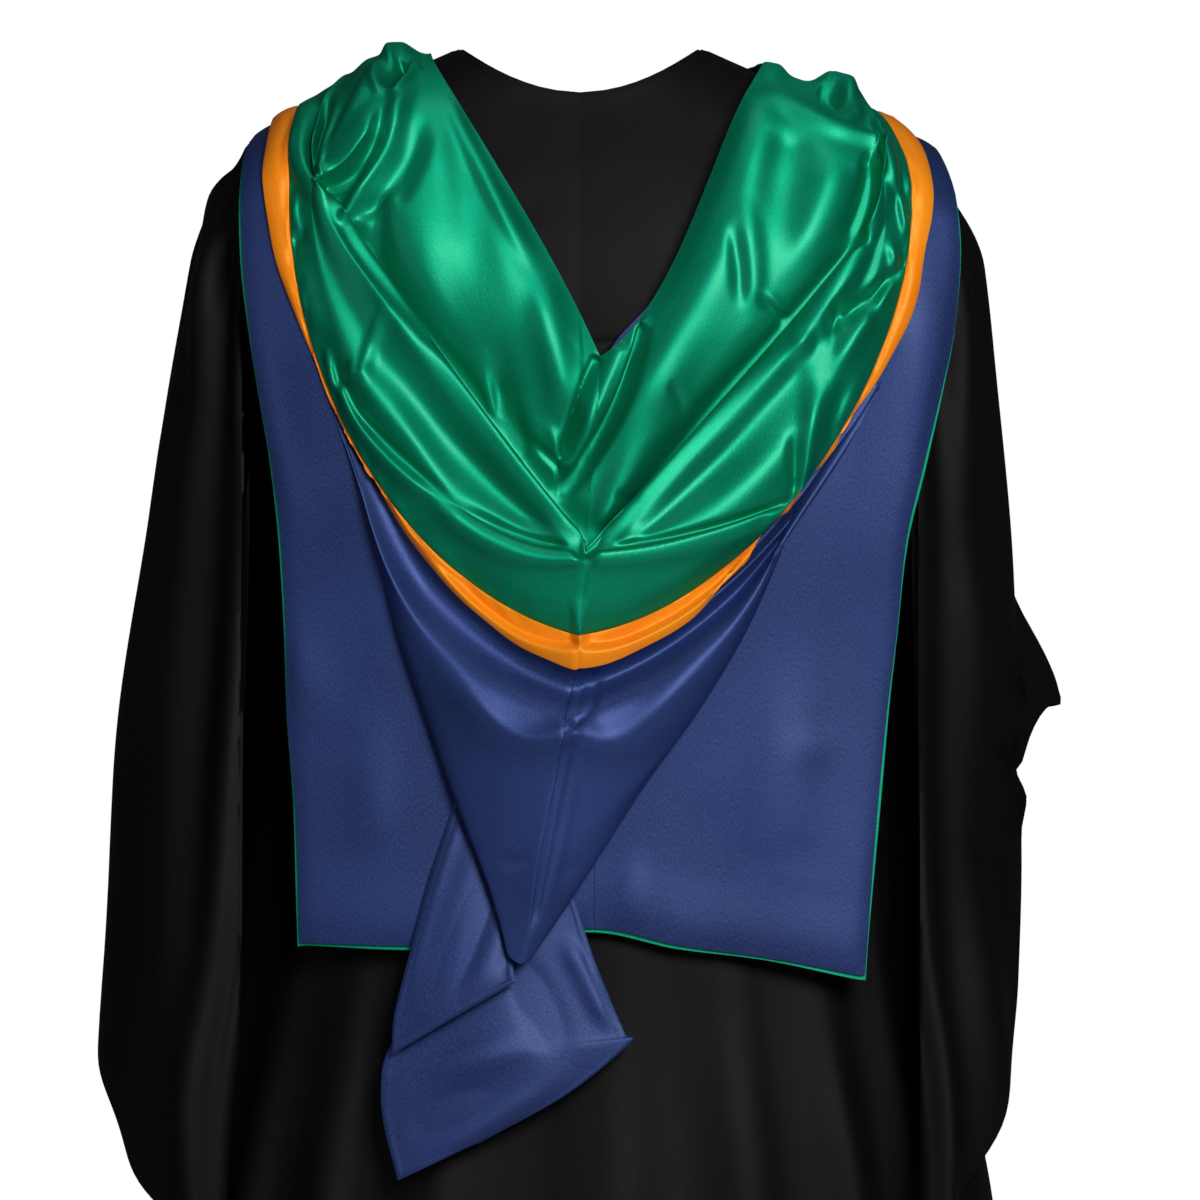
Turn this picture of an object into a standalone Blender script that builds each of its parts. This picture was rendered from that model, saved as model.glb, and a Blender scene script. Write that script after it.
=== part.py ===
"""Academic gown with the hood that is worn over it, seen from behind.

Metres, +Z up. The wearer faces +Y, so the back of the gown and the hood face -Y.
The origin is the middle of the neck opening, level with the nape.
Tables are in millimetres. "drop" is the distance below the nape.
"""
import math

import bmesh
import bpy
import numpy as np

MM = 0.001
SEAM = 0.3 * MM
GOWN_WALL = 1.5 * MM
HOOD_WALL = 1.2 * MM
LAYER_GAP = 0.3 * MM

# The shoulder line, a slope from the neck out to the armhole.
NECK_HALF = 85 * MM
NECK_RISE = 34 * MM
SHOULDER_SLOPE = math.tan(math.radians(24))
SHOULDER_ARCH = 50 * MM
ARMHOLE_X = 235 * MM
ARMPIT_DROP = 270 * MM
YOKE_DROP = 177 * MM
GOWN_LENGTH = 1200 * MM

# The figure's level sections, which the gown hangs on.
BODY_ROUND = 2.6
BODY = (
    # drop, half_width, back, front
    (-80, 300, 50, 40),
    (0, 292, 70, 58),
    (60, 285, 95, 82),
    (120, 275, 112, 102),
    (180, 260, 120, 116),
    (270, 235, 120, 122),
    (400, 237, 117, 122),
    (600, 250, 125, 130),
    (780, 284, 140, 142),
    (1000, 310, 158, 154),
    (1200, 330, 172, 165),
)

# The flat form that the hood's cape lies on: wider and squarer than the body.
CAPE_HALF = 345 * MM
CAPE_ROUND = 3.0
CAPE_CLEAR = 16 * MM
CAPE_RISE = 3.4 * MM
CAPE_FRONT = 30 * MM
CAPE_FRONT_EDGE = 200 * MM
CAPE_OUTER_EDGE = (
    # drop, left, right
    (-10, 208, 226),
    (20, 224, 240),
    (50, 237, 256),
    (80, 238, 264),
    (117, 237, 267),
    (169, 232, 263),
    (217, 225, 253),
    (267, 216, 241),
    (324, 209, 228),
    (384, 206, 222),
    (440, 205, 215),
    (512, 199, 208),
    (600, 196, 201),
    (640, 195, 198),
)
CAPE_NECK_EDGE = (
    # drop, left, right
    (-30, 115, 137),
    (0, 98, 119),
    (40, 78, 103),
    (76, 60, 88),
    (113, 38, 70),
    (150, 16, 52),
    (185, -6, 22),
    (215, -10, 10),
)
CAPE_HEM = (
    # across, drop
    (-200, 601),
    (-120, 603),
    (10, 591),
    (70, 603),
    (134, 612),
    (195, 624),
)

# The cowl's key lines, each a curve from the shoulder crest down to the centre seam.
# pull columns are the curve's two handles; lift is how far the cloth stands off the cape.
COWL_LEFT = (
    # start_x, start_z, pull1_x, pull1_z, pull2_x, pull2_z, end_x, end_z, lift_0, lift_1, lift_2, lift_3
    (-105, 25, -80, -25, -25, -100, 14, -188, 4, 5, 4, 5),
    (-117, 22, -100, -38, -32, -118, 9, -212, 7, 11, 12, 11),
    (-131, 14, -124, -50, -44, -135, 5, -240, 15, 14, 16, 14),
    (-144, 10, -185, -68, -72, -152, 2, -285, 17, 14, 12, 9),
    (-156, 5, -230, -75, -98, -162, 2, -330, 13, 8, 6, 12),
    (-163, 2, -240, -82, -105, -172, 2, -320, 13, 19, 19, 38),
    (-170, -2, -232, -110, -110, -236, 2, -325, 11, 15, 19, 41),
    (-178, -6, -222, -145, -104, -318, 3, -331, 10, 16, 30, 48),
    (-188, -10, -226, -160, -116, -342, 1, -356, 8, 10, 25, 46),
    (-197, -14, -228, -170, -130, -350, -1, -382, 7, 6, 20, 46),
    (-205, -18, -239, -156, -120, -368, -1, -395, 7, 5, 17, 44),
    (-213, -21, -248, -142, -110, -385, -1, -407, 6, 4, 14, 41),
)
COWL_RIGHT = (
    (127, 15, 95, -30, 70, -155, 14, -188, 4, 5, 4, 5),
    (138, 12, 116, -42, 74, -166, 17, -214, 5, 12, 12, 11),
    (150, 8, 148, -60, 80, -172, 18, -244, 5, 15, 17, 15),
    (166, 2, 210, -78, 92, -188, 12, -288, 8, 14, 13, 9),
    (182, -8, 258, -95, 100, -200, 7, -332, 13, 8, 6, 12),
    (190, -10, 266, -102, 108, -208, 7, -320, 14, 18, 20, 38),
    (194, -12, 264, -112, 118, -250, 7, -325, 12, 15, 21, 41),
    (198, -14, 260, -115, 126, -326, 6, -330, 10, 16, 32, 48),
    (202, -15, 272, -108, 150, -346, 3, -356, 8, 11, 27, 47),
    (207, -17, 286, -97, 154, -362, -1, -382, 7, 7, 20, 46),
    (214, -19, 298, -94, 147, -376, -1, -395, 7, 6, 17, 44),
    (221, -22, 309, -92, 139, -388, -1, -407, 6, 5, 14, 41),
)
LINING_ROWS = 9
COWL_ROWS = 11

# The navy shell below the edging, from its outer edge in to the centre seam.
SHELL_UNDER = 3.6 * MM
SHELL_LEFT = (
    # start_x, start_z, pull1_x, pull1_z, pull2_x, pull2_z, end_x, end_z, lift_edge, lift_mid, lift_seam
    (-153, -276, -138, -350, -72, -412, -8, -428, 5, 30, 42),
    (-141, -322, -122, -385, -66, -446, -11, -452, 4, 34, 45),
    (-128, -378, -108, -425, -58, -470, -15, -478, 5, 32, 40),
    (-104, -449, -86, -480, -48, -506, -22, -512, 9, 29, 37),
    (-84, -505, -68, -526, -45, -545, -29, -550, 15, 28, 34),
    (-62, -562, -54, -572, -42, -584, -34, -588, 21, 27, 30),
    (-50, -606, -48, -609, -44, -612, -41, -613, 24, 26, 27),
)
SHELL_RIGHT = (
    (149, -296, 133, -347, 66, -412, -8, -428, 3, 30, 42),
    (140, -325, 112, -384, 56, -446, -11, -452, 4, 34, 45),
    (116, -380, 88, -425, 40, -470, -15, -478, 4, 32, 40),
    (83, -435, 58, -474, 12, -506, -22, -512, 6, 29, 37),
    (44, -490, 22, -515, -8, -545, -29, -550, 10, 28, 34),
    (-2, -562, -12, -573, -26, -584, -34, -588, 16, 26, 30),
    (-32, -606, -34, -609, -38, -612, -41, -613, 22, 25, 27),
)
SHELL_START = 0.46

TAIL_FLAP = (
    # left_x, left_z, right_x, right_z, lift_left, lift_mid, lift_right
    (-74, -482, -52, -500, 2, 2, 2),
    (-87, -499, -50, -520, 3, 5, 4),
    (-97, -528, -46, -548, 5, 9, 7),
    (-107, -560, -46, -580, 7, 13, 11),
    (-116, -596, -46, -604, 9, 17, 16),
    (-124, -628, -46, -618, 12, 20, 20),
    (-129, -652, -45, -622, 13, 21, 21),
    (-130, -676, -44, -625, 14, 20, 22),
)
TAIL_END = (
    (-62, -548, -12, -540, 2, 2, 2),
    (-72, -580, -2, -572, 2, 5, 3),
    (-90, -612, 9, -606, 3, 8, 5),
    (-116, -645, 20, -634, 4, 11, 6),
    (-134, -674, 31, -660, 5, 13, 7),
    (-138, -696, 34, -668, 7, 14, 8),
    (-136, -724, -10, -704, 8, 14, 9),
    (-126, -763, -70, -737, 9, 12, 9),
)

# The strap that carries the hood over the shoulder to the chest, as curves in x and w.
STRAP_INNER = (105, 0, 106, -60, 60, -165, 0, -210)
STRAP_OUTER = (212, 0, 206, -90, 92, -235, 0, -285)
STRAP_JOIN = 0.30
STRAP_LIFT = 5 * MM
STRAP_END_LIFT = -4.5 * MM

SLEEVE_OUT = (
    # drop, left, right, reach_back, reach_front, wrap
    (20, 244, 250, 48, 48, 0),
    (60, 264, 270, 62, 62, 2),
    (115, 276, 284, 78, 80, 14),
    (207, 292, 295, 92, 98, 36),
    (343, 311, 306, 112, 112, 50),
    (480, 329, 309, 130, 120, 54),
    (587, 335, 311, 140, 124, 56),
    (694, 340, 315, 148, 124, 52),
    (800, 336, 312, 152, 122, 58),
    (900, 330, 308, 152, 120, 62),
)
SLEEVE_HEM = (
    # turn (parts of a circle from the outer side, by the back, inside and front), left, right
    (0.00, 640, 480),
    (0.03, 672, 528),
    (0.07, 708, 640),
    (0.12, 756, 712),
    (0.18, 800, 778),
    (0.26, 838, 826),
    (0.36, 850, 846),
    (0.50, 812, 806),
    (0.64, 710, 696),
    (0.78, 600, 560),
    (0.90, 570, 438),
    (0.95, 596, 432),
    (1.00, 640, 480),
)
SLEEVE_FOLDS = (
    # turn, width, top, hem
    (0.05, 0.035, 3, 6),
    (0.13, 0.030, 4, 9),
    (0.21, 0.028, 5, 12),
    (0.29, 0.030, 4, 9),
    (0.37, 0.034, 2, 8),
    (0.66, 0.040, 2, 8),
    (0.75, 0.034, 4, 10),
    (0.84, 0.030, 4, 8),
    (0.92, 0.032, 3, 6),
)
SLEEVE_FLARE = (
    # turn, width, left, right: how far the hem kicks out
    (0.93, 0.045, 6, 42),
    (0.10, 0.040, 3, 4),
)
SLEEVE_GATHER_HEIGHT = 2.0 * MM
SLEEVE_CLEAR = 7 * MM

BACK_FOLDS = (
    # across at the yoke, across at the hem (parts of the half width), width, top, hem
    (-0.72, -0.80, 0.060, 1, 14),
    (-0.50, -0.60, 0.055, 2, 20),
    (-0.31, -0.41, 0.050, 3, 17),
    (-0.12, -0.20, 0.055, 2, 22),
    (0.04, 0.02, 0.045, 3, 16),
    (0.19, 0.22, 0.055, 2, 21),
    (0.36, 0.44, 0.050, 3, 18),
    (0.55, 0.63, 0.055, 2, 20),
    (0.74, 0.82, 0.055, 1, 13),
)
FRONT_FOLDS = (
    (0.42, 0.36, 0.090, 1, 13),
    (0.58, 0.56, 0.080, 2, 18),
    (0.75, 0.78, 0.075, 1, 15),
)
BACK_GATHERS = 30
BACK_GATHER_HEIGHT = 1.6 * MM
FRONT_EDGE = (
    # drop, across
    (0, 86),
    (60, 70),
    (200, 52),
    (600, 46),
    (1200, 44),
)

GOWN_BLACK = (0.010, 0.010, 0.012, 1)
SATIN_NAVY = (0.024, 0.042, 0.165, 1)
SATIN_GREEN = (0.000, 0.262, 0.103, 1)
SATIN_ORANGE = (1.000, 0.262, 0.010, 1)


def smooth(at, knots, values):
    """A cubic curve through the values that never overshoots them."""
    at = np.asarray(at, float)
    x = np.asarray(knots, float)
    y = np.asarray(values, float)
    step = np.diff(x)
    rise = np.diff(y) / step
    slope = np.zeros(len(x))
    same_way = rise[:-1] * rise[1:] > 0
    mean = 2 * rise[:-1] * rise[1:] / np.where(same_way, rise[:-1] + rise[1:], 1)
    slope[1:-1] = np.where(same_way, mean, 0)
    slope[0] = rise[0]
    slope[-1] = rise[-1]
    inside = np.clip(at, x[0], x[-1])
    i = np.clip(np.searchsorted(x, inside) - 1, 0, len(x) - 2)
    t = (inside - x[i]) / step[i]
    low = y[i] * (1 + 2 * t) * (1 - t) ** 2 + slope[i] * step[i] * t * (1 - t) ** 2
    high = y[i + 1] * t * t * (3 - 2 * t) - slope[i + 1] * step[i] * t * t * (1 - t)
    return low + high


def column(table, index):
    return np.array([row[index] for row in table], float) * MM


def lookup(table, drop, index):
    return smooth(drop, column(table, 0), column(table, index))


def ease(t):
    t = np.clip(t, 0, 1)
    return t * t * (3 - 2 * t)


def crest(x):
    """Height of the shoulder line, which runs on up past the neck's edge."""
    return NECK_RISE - (np.abs(x) - NECK_HALF) * SHOULDER_SLOPE


def fall(w):
    """How far the cloth has dropped, w along it from the crest, and how far back it has gone."""
    quarter = SHOULDER_ARCH * math.pi / 2
    angle = np.clip(np.abs(w) / quarter, 0, 1) * math.pi / 2
    drop = SHOULDER_ARCH * (1 - np.cos(angle)) + np.maximum(np.abs(w) - quarter, 0)
    return drop, np.sin(angle)


def along(drop):
    """The distance along the cloth from the crest to a point that lies `drop` below it."""
    quarter = SHOULDER_ARCH * math.pi / 2
    drop = np.maximum(drop, 0)
    angle = np.arccos(1 - np.minimum(drop / SHOULDER_ARCH, 1))
    return np.where(drop < SHOULDER_ARCH, angle / (math.pi / 2) * quarter, drop - SHOULDER_ARCH + quarter)


def body_point(x, w):
    """A point on the gown: x across, w along from the crest, back positive, front negative."""
    drop, arch = fall(w)
    z = crest(x) - drop
    half = lookup(BODY, -z, 1)
    depth = np.where(w >= 0, lookup(BODY, -z, 2), lookup(BODY, -z, 3))
    spread = np.sqrt(np.maximum(1 - (np.abs(x) / half) ** BODY_ROUND, 0))
    return np.stack([x, -np.sign(w) * depth * spread * arch, z], -1)


def cape_point(x, w):
    """A point on the flat form outside the gown, which the hood lies on."""
    drop, arch = fall(w)
    z = crest(x) - drop
    back = lookup(BODY, -z, 2) + CAPE_CLEAR
    front = lookup(BODY, -z, 3) + CAPE_CLEAR / 2
    depth = np.where(w >= 0, back, front)
    spread = np.sqrt(1 - (np.abs(x) / CAPE_HALF) ** CAPE_ROUND)
    return np.stack([x, -np.sign(w) * depth * spread * arch, z + CAPE_RISE], -1)


def form_normals(form, x, w):
    """A form's own unit normals, which point away from the figure."""
    step = 1 * MM
    x, w = np.broadcast_arrays(np.asarray(x, float), np.asarray(w, float))
    over_x = form(x + step, w) - form(x - step, w)
    over_w = form(x, w + step) - form(x, w - step)
    normal = np.cross(over_w, over_x)
    return normal / np.linalg.norm(normal, axis=-1, keepdims=True)


def lifted(form, x, w, lift):
    """A point that stands off a form by lift, along the form's own normal."""
    x, w, lift = np.broadcast_arrays(np.asarray(x, float), np.asarray(w, float), np.asarray(lift, float))
    return form(x, w) + form_normals(form, x, w) * lift[..., None]


def bezier(row, s):
    """Points along one row's curve, as x and z."""
    p = np.array(row[:8], float).reshape(4, 2) * MM
    s = np.asarray(s, float)[:, None]
    return p[0] * (1 - s) ** 3 + 3 * p[1] * s * (1 - s) ** 2 + 3 * p[2] * s * s * (1 - s) + p[3] * s ** 3


def grid_normals(points, closed=False):
    """Unit normals of a grid of points; closed joins its last column to its first."""
    if closed:
        across = np.roll(points, -1, 1) - np.roll(points, 1, 1)
    else:
        across = np.gradient(points, axis=1)
    down = np.gradient(points, axis=0)
    normal = np.cross(across, down)
    return normal / np.maximum(np.linalg.norm(normal, axis=-1, keepdims=True), 1e-12)


def narrowed(points, first, last, axis):
    """The grid with its first or last line moved half a seam's gap into the piece."""
    points = np.moveaxis(points.copy(), axis, 0)
    for edge, inner, wanted in ((0, 1, first), (-1, -2, last)):
        if wanted:
            step = points[inner] - points[edge]
            length = np.maximum(np.linalg.norm(step, axis=-1, keepdims=True), 1e-9)
            points[edge] += step / length * SEAM / 2
    return np.moveaxis(points, 0, axis)


def wall(name, points, normals, thickness, material, closed=False):
    """A closed wall whose outer side is the grid, and whose inner side lies thickness behind it."""
    rows, columns = points.shape[:2]
    inner = points - normals * thickness
    mesh = bpy.data.meshes.new(name)
    shape = bmesh.new()
    outer_verts = [[shape.verts.new(p) for p in line] for line in points]
    inner_verts = [[shape.verts.new(p) for p in line] for line in inner]
    spans = columns if closed else columns - 1
    for r in range(rows - 1):
        for c in range(spans):
            d = (c + 1) % columns
            shape.faces.new((outer_verts[r][c], outer_verts[r][d], outer_verts[r + 1][d], outer_verts[r + 1][c]))
            shape.faces.new((inner_verts[r][c], inner_verts[r + 1][c], inner_verts[r + 1][d], inner_verts[r][d]))
    for c in range(spans):
        d = (c + 1) % columns
        shape.faces.new((outer_verts[0][d], outer_verts[0][c], inner_verts[0][c], inner_verts[0][d]))
        shape.faces.new((outer_verts[-1][c], outer_verts[-1][d], inner_verts[-1][d], inner_verts[-1][c]))
    if not closed:
        for r in range(rows - 1):
            shape.faces.new((outer_verts[r][0], outer_verts[r + 1][0], inner_verts[r + 1][0], inner_verts[r][0]))
            shape.faces.new((outer_verts[r + 1][-1], outer_verts[r][-1], inner_verts[r][-1], inner_verts[r + 1][-1]))
    bmesh.ops.triangulate(shape, faces=shape.faces, quad_method="SHORT_EDGE")
    if shape.calc_volume(signed=True) < 0:
        bmesh.ops.reverse_faces(shape, faces=shape.faces)
    shape.to_mesh(mesh)
    shape.free()
    mesh.materials.append(material)
    mesh.shade_smooth()
    mesh.set_sharp_from_angle(angle=math.radians(60))
    made = bpy.data.objects.new(name, mesh)
    bpy.context.scene.collection.objects.link(made)
    return made


def cloth(name, colour, roughness):
    material = bpy.data.materials.new(name)
    material.use_nodes = True
    shader = material.node_tree.nodes["Principled BSDF"]
    shader.inputs["Base Color"].default_value = colour
    shader.inputs["Roughness"].default_value = roughness
    shader.inputs["Metallic"].default_value = 0.0
    return material


def neck_drop(x):
    """How far the gown's neckline lies below the crest line at x."""
    height = NECK_RISE * (np.minimum(np.abs(x), NECK_HALF) / NECK_HALF) ** 2
    return np.maximum(crest(x) - height, 0)


def across_body(fraction):
    """Spaces columns so that they crowd toward the side seam, as the body turns there."""
    return np.sign(fraction) * np.sin(np.abs(fraction) * math.pi / 2) ** (2 / BODY_ROUND)


def side_edge(drop):
    """The gown's outer edge: the armhole's plane, then the side seam."""
    return np.where(drop < ARMPIT_DROP, ARMHOLE_X, lookup(BODY, drop, 1))


def body_level(x, z):
    """The distance along the gown at a height, for the back."""
    return along(crest(x) - z)


def make_yokes(material):
    """The plain upper back, cut at the centre back seam."""
    fractions = np.linspace(-1, 1, 17)
    x_low = across_body(fractions * 0.999) * ARMHOLE_X
    rows = np.linspace(0, 1, 8)[:, None]
    x = np.broadcast_to(x_low, (8, 17))
    top = along(neck_drop(x))
    top = np.where(np.abs(x) > NECK_HALF, SEAM / 2, np.maximum(top, SEAM / 2))
    bottom = body_level(x, -YOKE_DROP)
    w = top + (bottom - top) * rows
    points = body_point(x, w)
    normals = form_normals(body_point, x, w)
    for side, part in (("left", slice(0, 9)), ("right", slice(8, 17))):
        piece = narrowed(points[:, part], side == "right", side == "left", 1)
        piece = narrowed(piece, False, True, 0)
        wall("yoke_" + side, piece, normals[:, part], GOWN_WALL, material)


def fold_height(table, across, fraction):
    """The sum of the folds at a place across the piece; fraction runs 0 to 1 down to the hem."""
    total = np.zeros(np.broadcast(across, fraction).shape)
    for top_at, hem_at, width, top, hem in table:
        centre = top_at + (hem_at - top_at) * fraction
        size = (top + (hem - top) * fraction ** 1.6) * MM
        total = total + size * np.exp(-((across - centre) / width) ** 2)
    return total


def make_back(material):
    """The back panel: fine gathers at the yoke seam run out into a few long folds."""
    columns = BACK_GATHERS * 3 + 1
    fractions = np.linspace(-1, 1, columns)
    drops = np.array([177, 190, 212, 250, 310, 400, 520, 670, 830, 1010, 1200]) * MM
    drop = drops[:, None]
    edge = side_edge(drop) * np.ones((1, columns))
    x = across_body(fractions * 0.9992) * edge
    down = (drop - YOKE_DROP) / (GOWN_LENGTH - YOKE_DROP)
    points = body_point(x, body_level(x, -drop))
    normals = grid_normals(points)
    normals *= np.where(normals[4, columns // 2, 1] > 0, -1, 1)
    fade = ease((1 - np.abs(fractions)) / 0.12)
    fine = np.sin(np.arange(columns) * 2 * math.pi / 3) * BACK_GATHER_HEIGHT * np.exp(-down / 0.05)
    under_cape = 0.35 + 0.65 * ease((drop - 0.55) / 0.25)
    height = fold_height(BACK_FOLDS, fractions, down) * under_cape
    points = points + normals * ((height + fine) * fade)[..., None]
    normals = grid_normals(points)
    normals *= np.where(normals[4, columns // 2, 1] > 0, -1, 1)
    points = narrowed(points, True, False, 0)
    wall("gown_back", points, normals, GOWN_WALL, material)


def make_fronts(material):
    """The open fronts, from the shoulder crest to the hem."""
    columns = 17
    drops = np.array([0, 12, 35, 75, 125, 190, 270, 400, 560, 760, 980, 1200]) * MM
    for side, sign in (("left", -1), ("right", 1)):
        inner = smooth(drops, column(FRONT_EDGE, 0), column(FRONT_EDGE, 1))[:, None]
        spread = across_body(np.linspace(0, 0.9992, columns))[None, :]
        outer = side_edge(drops)[:, None]
        x = inner + (outer - inner) * spread
        top = crest(x)
        share = drops[:, None] / GOWN_LENGTH
        w = -(SEAM / 2 + along(share * (top + GOWN_LENGTH)))
        levels = np.where(drops[:, None] < 0.19, w, -along(crest(x) + drops[:, None]))
        blend = ease(drops[:, None] / 0.27)
        w = w * (1 - blend) + levels * blend
        points = body_point(x * sign, w)
        z_share = np.clip(-points[..., 2] / GOWN_LENGTH, 0, 1)
        normals = grid_normals(points)
        normals *= np.where(normals[5, 8, 1] < 0, -1, 1)
        fade = ease((1 - spread) / 0.06) * ease((z_share - 0.1) / 0.2)
        points = points + normals * (fold_height(FRONT_FOLDS, spread, z_share) * fade)[..., None]
        normals = grid_normals(points)
        normals *= np.where(normals[5, 8, 1] < 0, -1, 1)
        normals[:3] = form_normals(body_point, x[:3] * sign, w[:3])
        wall("gown_front_" + side, points, normals, GOWN_WALL, material)


def sleeve_points(side, columns, rows):
    """A bell sleeve: from the armhole's outline down to its slanting hem."""
    outer_column = 1 if side == "left" else 2
    turn = np.arange(columns) / columns
    angle = turn * 2 * math.pi
    shoulder = -crest(ARMHOLE_X) + 1.5 * MM
    armpit = ARMPIT_DROP - 1 * MM
    head_drop = shoulder + (armpit - shoulder) * (1 - np.cos(angle)) / 2
    at_hole = body_point(np.full(columns, ARMHOLE_X), along(crest(ARMHOLE_X) + head_drop))
    front_hole = body_point(np.full(columns, ARMHOLE_X), -along(crest(ARMHOLE_X) + head_drop))
    hole_y = np.where(turn <= 0.5, at_hole[:, 1], front_hole[:, 1])
    hem = smooth(turn, [row[0] for row in SLEEVE_HEM], column(SLEEVE_HEM, outer_column))
    share = np.linspace(0, 1, rows)[:, None] ** 1.35
    drop = head_drop + (hem - head_drop) * share
    outer = lookup(SLEEVE_OUT, drop, outer_column)
    inner = np.maximum(lookup(BODY, drop, 1), ARMHOLE_X) + SLEEVE_CLEAR
    inner = np.where(drop < ARMPIT_DROP, ARMHOLE_X + SLEEVE_CLEAR, inner)
    back = lookup(SLEEVE_OUT, drop, 3)
    front = lookup(SLEEVE_OUT, drop, 4)
    wrap = lookup(SLEEVE_OUT, drop, 5)
    reach = np.where(np.sin(angle) > 0, back, front)
    y = -reach * np.sin(angle)
    x = (outer + inner) / 2 + (outer - inner) / 2 * np.cos(angle) - wrap * np.sin(angle) ** 2
    below = drop - head_drop
    settle = np.sin(np.clip(below / 0.085, 0, 1) * math.pi / 2)
    x = ARMHOLE_X + 0.5 * MM + (x - ARMHOLE_X - 0.5 * MM) * settle
    y = hole_y + (y - hole_y) * settle
    points = np.stack([x, y, -drop + 0 * x], -1)
    normals = grid_normals(points, closed=True)
    normals *= np.where(normals[rows // 2, 0, 0] < 0, -1, 1)
    height = np.zeros(x.shape)
    for at, width, top, low in SLEEVE_FOLDS:
        size = (top + (low - top) * ease(share * 1.2)) * MM
        height = height + size * np.exp(-((turn - at) / width) ** 2)
    gathers = np.sin(turn * columns * math.pi / 2) * SLEEVE_GATHER_HEIGHT * np.exp(-below / 0.04)
    gathers = np.where(np.abs(turn - 0.5) < 0.12, 0, gathers)
    height = (height + gathers) * ease(below / 0.03)
    flare = np.zeros(x.shape)
    for row in SLEEVE_FLARE:
        size = row[1 + outer_column] * MM * ease((share - 0.72) / 0.28)
        flare = flare + size * np.exp(-((turn - row[0]) / row[1]) ** 2)
    points = points + normals * height[..., None]
    points[..., 0] += flare
    seam_side = ARMHOLE_X + 0.4 * MM + 0.2 * np.minimum(below, 10 * MM)
    points[..., 0] = np.maximum(points[..., 0], seam_side)
    normals = grid_normals(points, closed=True)
    normals *= np.where(normals[rows // 2, 0, 0] < 0, -1, 1)
    normals[0, :, 0] = 0
    normals[0] /= np.linalg.norm(normals[0], axis=-1, keepdims=True)
    if side == "left":
        points = points * np.array([-1, 1, 1])
        normals = normals * np.array([-1, 1, 1])
    return points, normals


def make_sleeves(material):
    for side in ("left", "right"):
        points, normals = sleeve_points(side, 40, 13)
        wall("sleeve_" + side, points, normals, GOWN_WALL, material, closed=True)


def cape_grid(columns, rows):
    """The cape as one cloth, left to right, from just over the crest to its hem."""
    half = columns // 2
    hem_x = column(CAPE_HEM, 0)
    hem_drop = column(CAPE_HEM, 1)
    start = np.array([-CAPE_FRONT, -CAPE_FRONT / 2])
    lines = []
    for sign, index in ((-1, 1), (1, 2)):
        share = np.linspace(0, 1, half + 1)[:, None]
        rest = np.linspace(0, 1, rows - 2)[None, :] ** 1.5
        x = np.full((half + 1, rows), 0.18)
        for _ in range(6):
            length = along(crest(x) + smooth(sign * x, hem_x, hem_drop))
            w = np.concatenate([np.broadcast_to(start, (half + 1, 2)), length[:, 2:] * rest], 1)
            drop = fall(w)[0] - crest(x)
            outer = lookup(CAPE_OUTER_EDGE, drop, index)
            outer = np.where(w < 0, CAPE_FRONT_EDGE + (outer - CAPE_FRONT_EDGE) * (1 + w / CAPE_FRONT), outer)
            neck = lookup(CAPE_NECK_EDGE, drop, index)
            x = outer + (neck - outer) * share
        lines.append((sign * x, w))
    left_x, left_w = lines[0]
    right_x, right_w = lines[1]
    x = np.concatenate([left_x, right_x[::-1][0:]], 0).T
    w = np.concatenate([left_w, right_w[::-1][0:]], 0).T
    return x, w


def make_cape(shell, lining):
    """Flat panels over the shoulders, and their lining, which shows 1.5 mm beyond them."""
    x, w = cape_grid(14, 15)
    half = x.shape[1] // 2
    for side, part in (("left", slice(0, half)), ("right", slice(half, None))):
        px = x[:, part]
        pw = w[:, part]
        sign = -1 if side == "left" else 1
        outer = lifted(cape_point, px, pw, 0 * px)
        normals = grid_normals(outer)
        normals *= np.where(normals[8, 3, 1] > 0, -1, 1)
        if side == "left":
            outer = narrowed(outer, False, True, 1)
        else:
            outer = narrowed(outer, True, False, 1)
        wall("cape_" + side, outer, normals, HOOD_WALL, shell)
        edge = 0 if side == "left" else -1
        wider = px.copy()
        wider[:, edge] += sign * 1.5 * MM
        longer = pw.copy()
        longer[-1] += 1.8 * MM
        inner = lifted(cape_point, wider, longer, -(HOOD_WALL + LAYER_GAP) + 0 * px)
        if side == "left":
            inner = narrowed(inner, False, True, 1)
        else:
            inner = narrowed(inner, True, False, 1)
        wall("cape_lining_" + side, inner, normals, HOOD_WALL, lining)


def row_curves(table, s, lift_columns):
    """Each row's curve as x, z and lift at the shares s along it."""
    x = []
    z = []
    lift = []
    stations = np.linspace(0, 1, lift_columns)
    for row in table:
        curve = bezier(row, s)
        x.append(curve[:, 0])
        z.append(curve[:, 1])
        lift.append(smooth(s, stations, np.array(row[8:8 + lift_columns]) * MM))
    return np.array(x), np.array(z), np.array(lift)


def between_rows(values, t):
    """Catmull-Rom between key rows, so that the cloth runs smoothly through them."""
    last = len(values) - 1
    i = np.clip(np.floor(t).astype(int), 0, last - 1)
    f = (t - i)[:, None]
    before = values[np.maximum(i - 1, 0)]
    here = values[i]
    after = values[i + 1]
    beyond = values[np.minimum(i + 2, last)]
    bend = 2 * before - 5 * here + 4 * after - beyond
    twist = 3 * here - before - 3 * after + beyond
    return 0.5 * (2 * here + (after - before) * f + bend * f ** 2 + twist * f ** 3)


def cowl_grid(columns, t, table):
    """One half of the cowl from the crest to the centre seam, at the row numbers t."""
    s = np.linspace(0, 1, columns)
    x, z, lift = row_curves(table, s, 4)
    x = between_rows(x, t)
    z = between_rows(z, t)
    lift = between_rows(lift, t)
    w = along(crest(x) + CAPE_RISE - z)
    return x, w, lift


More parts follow.
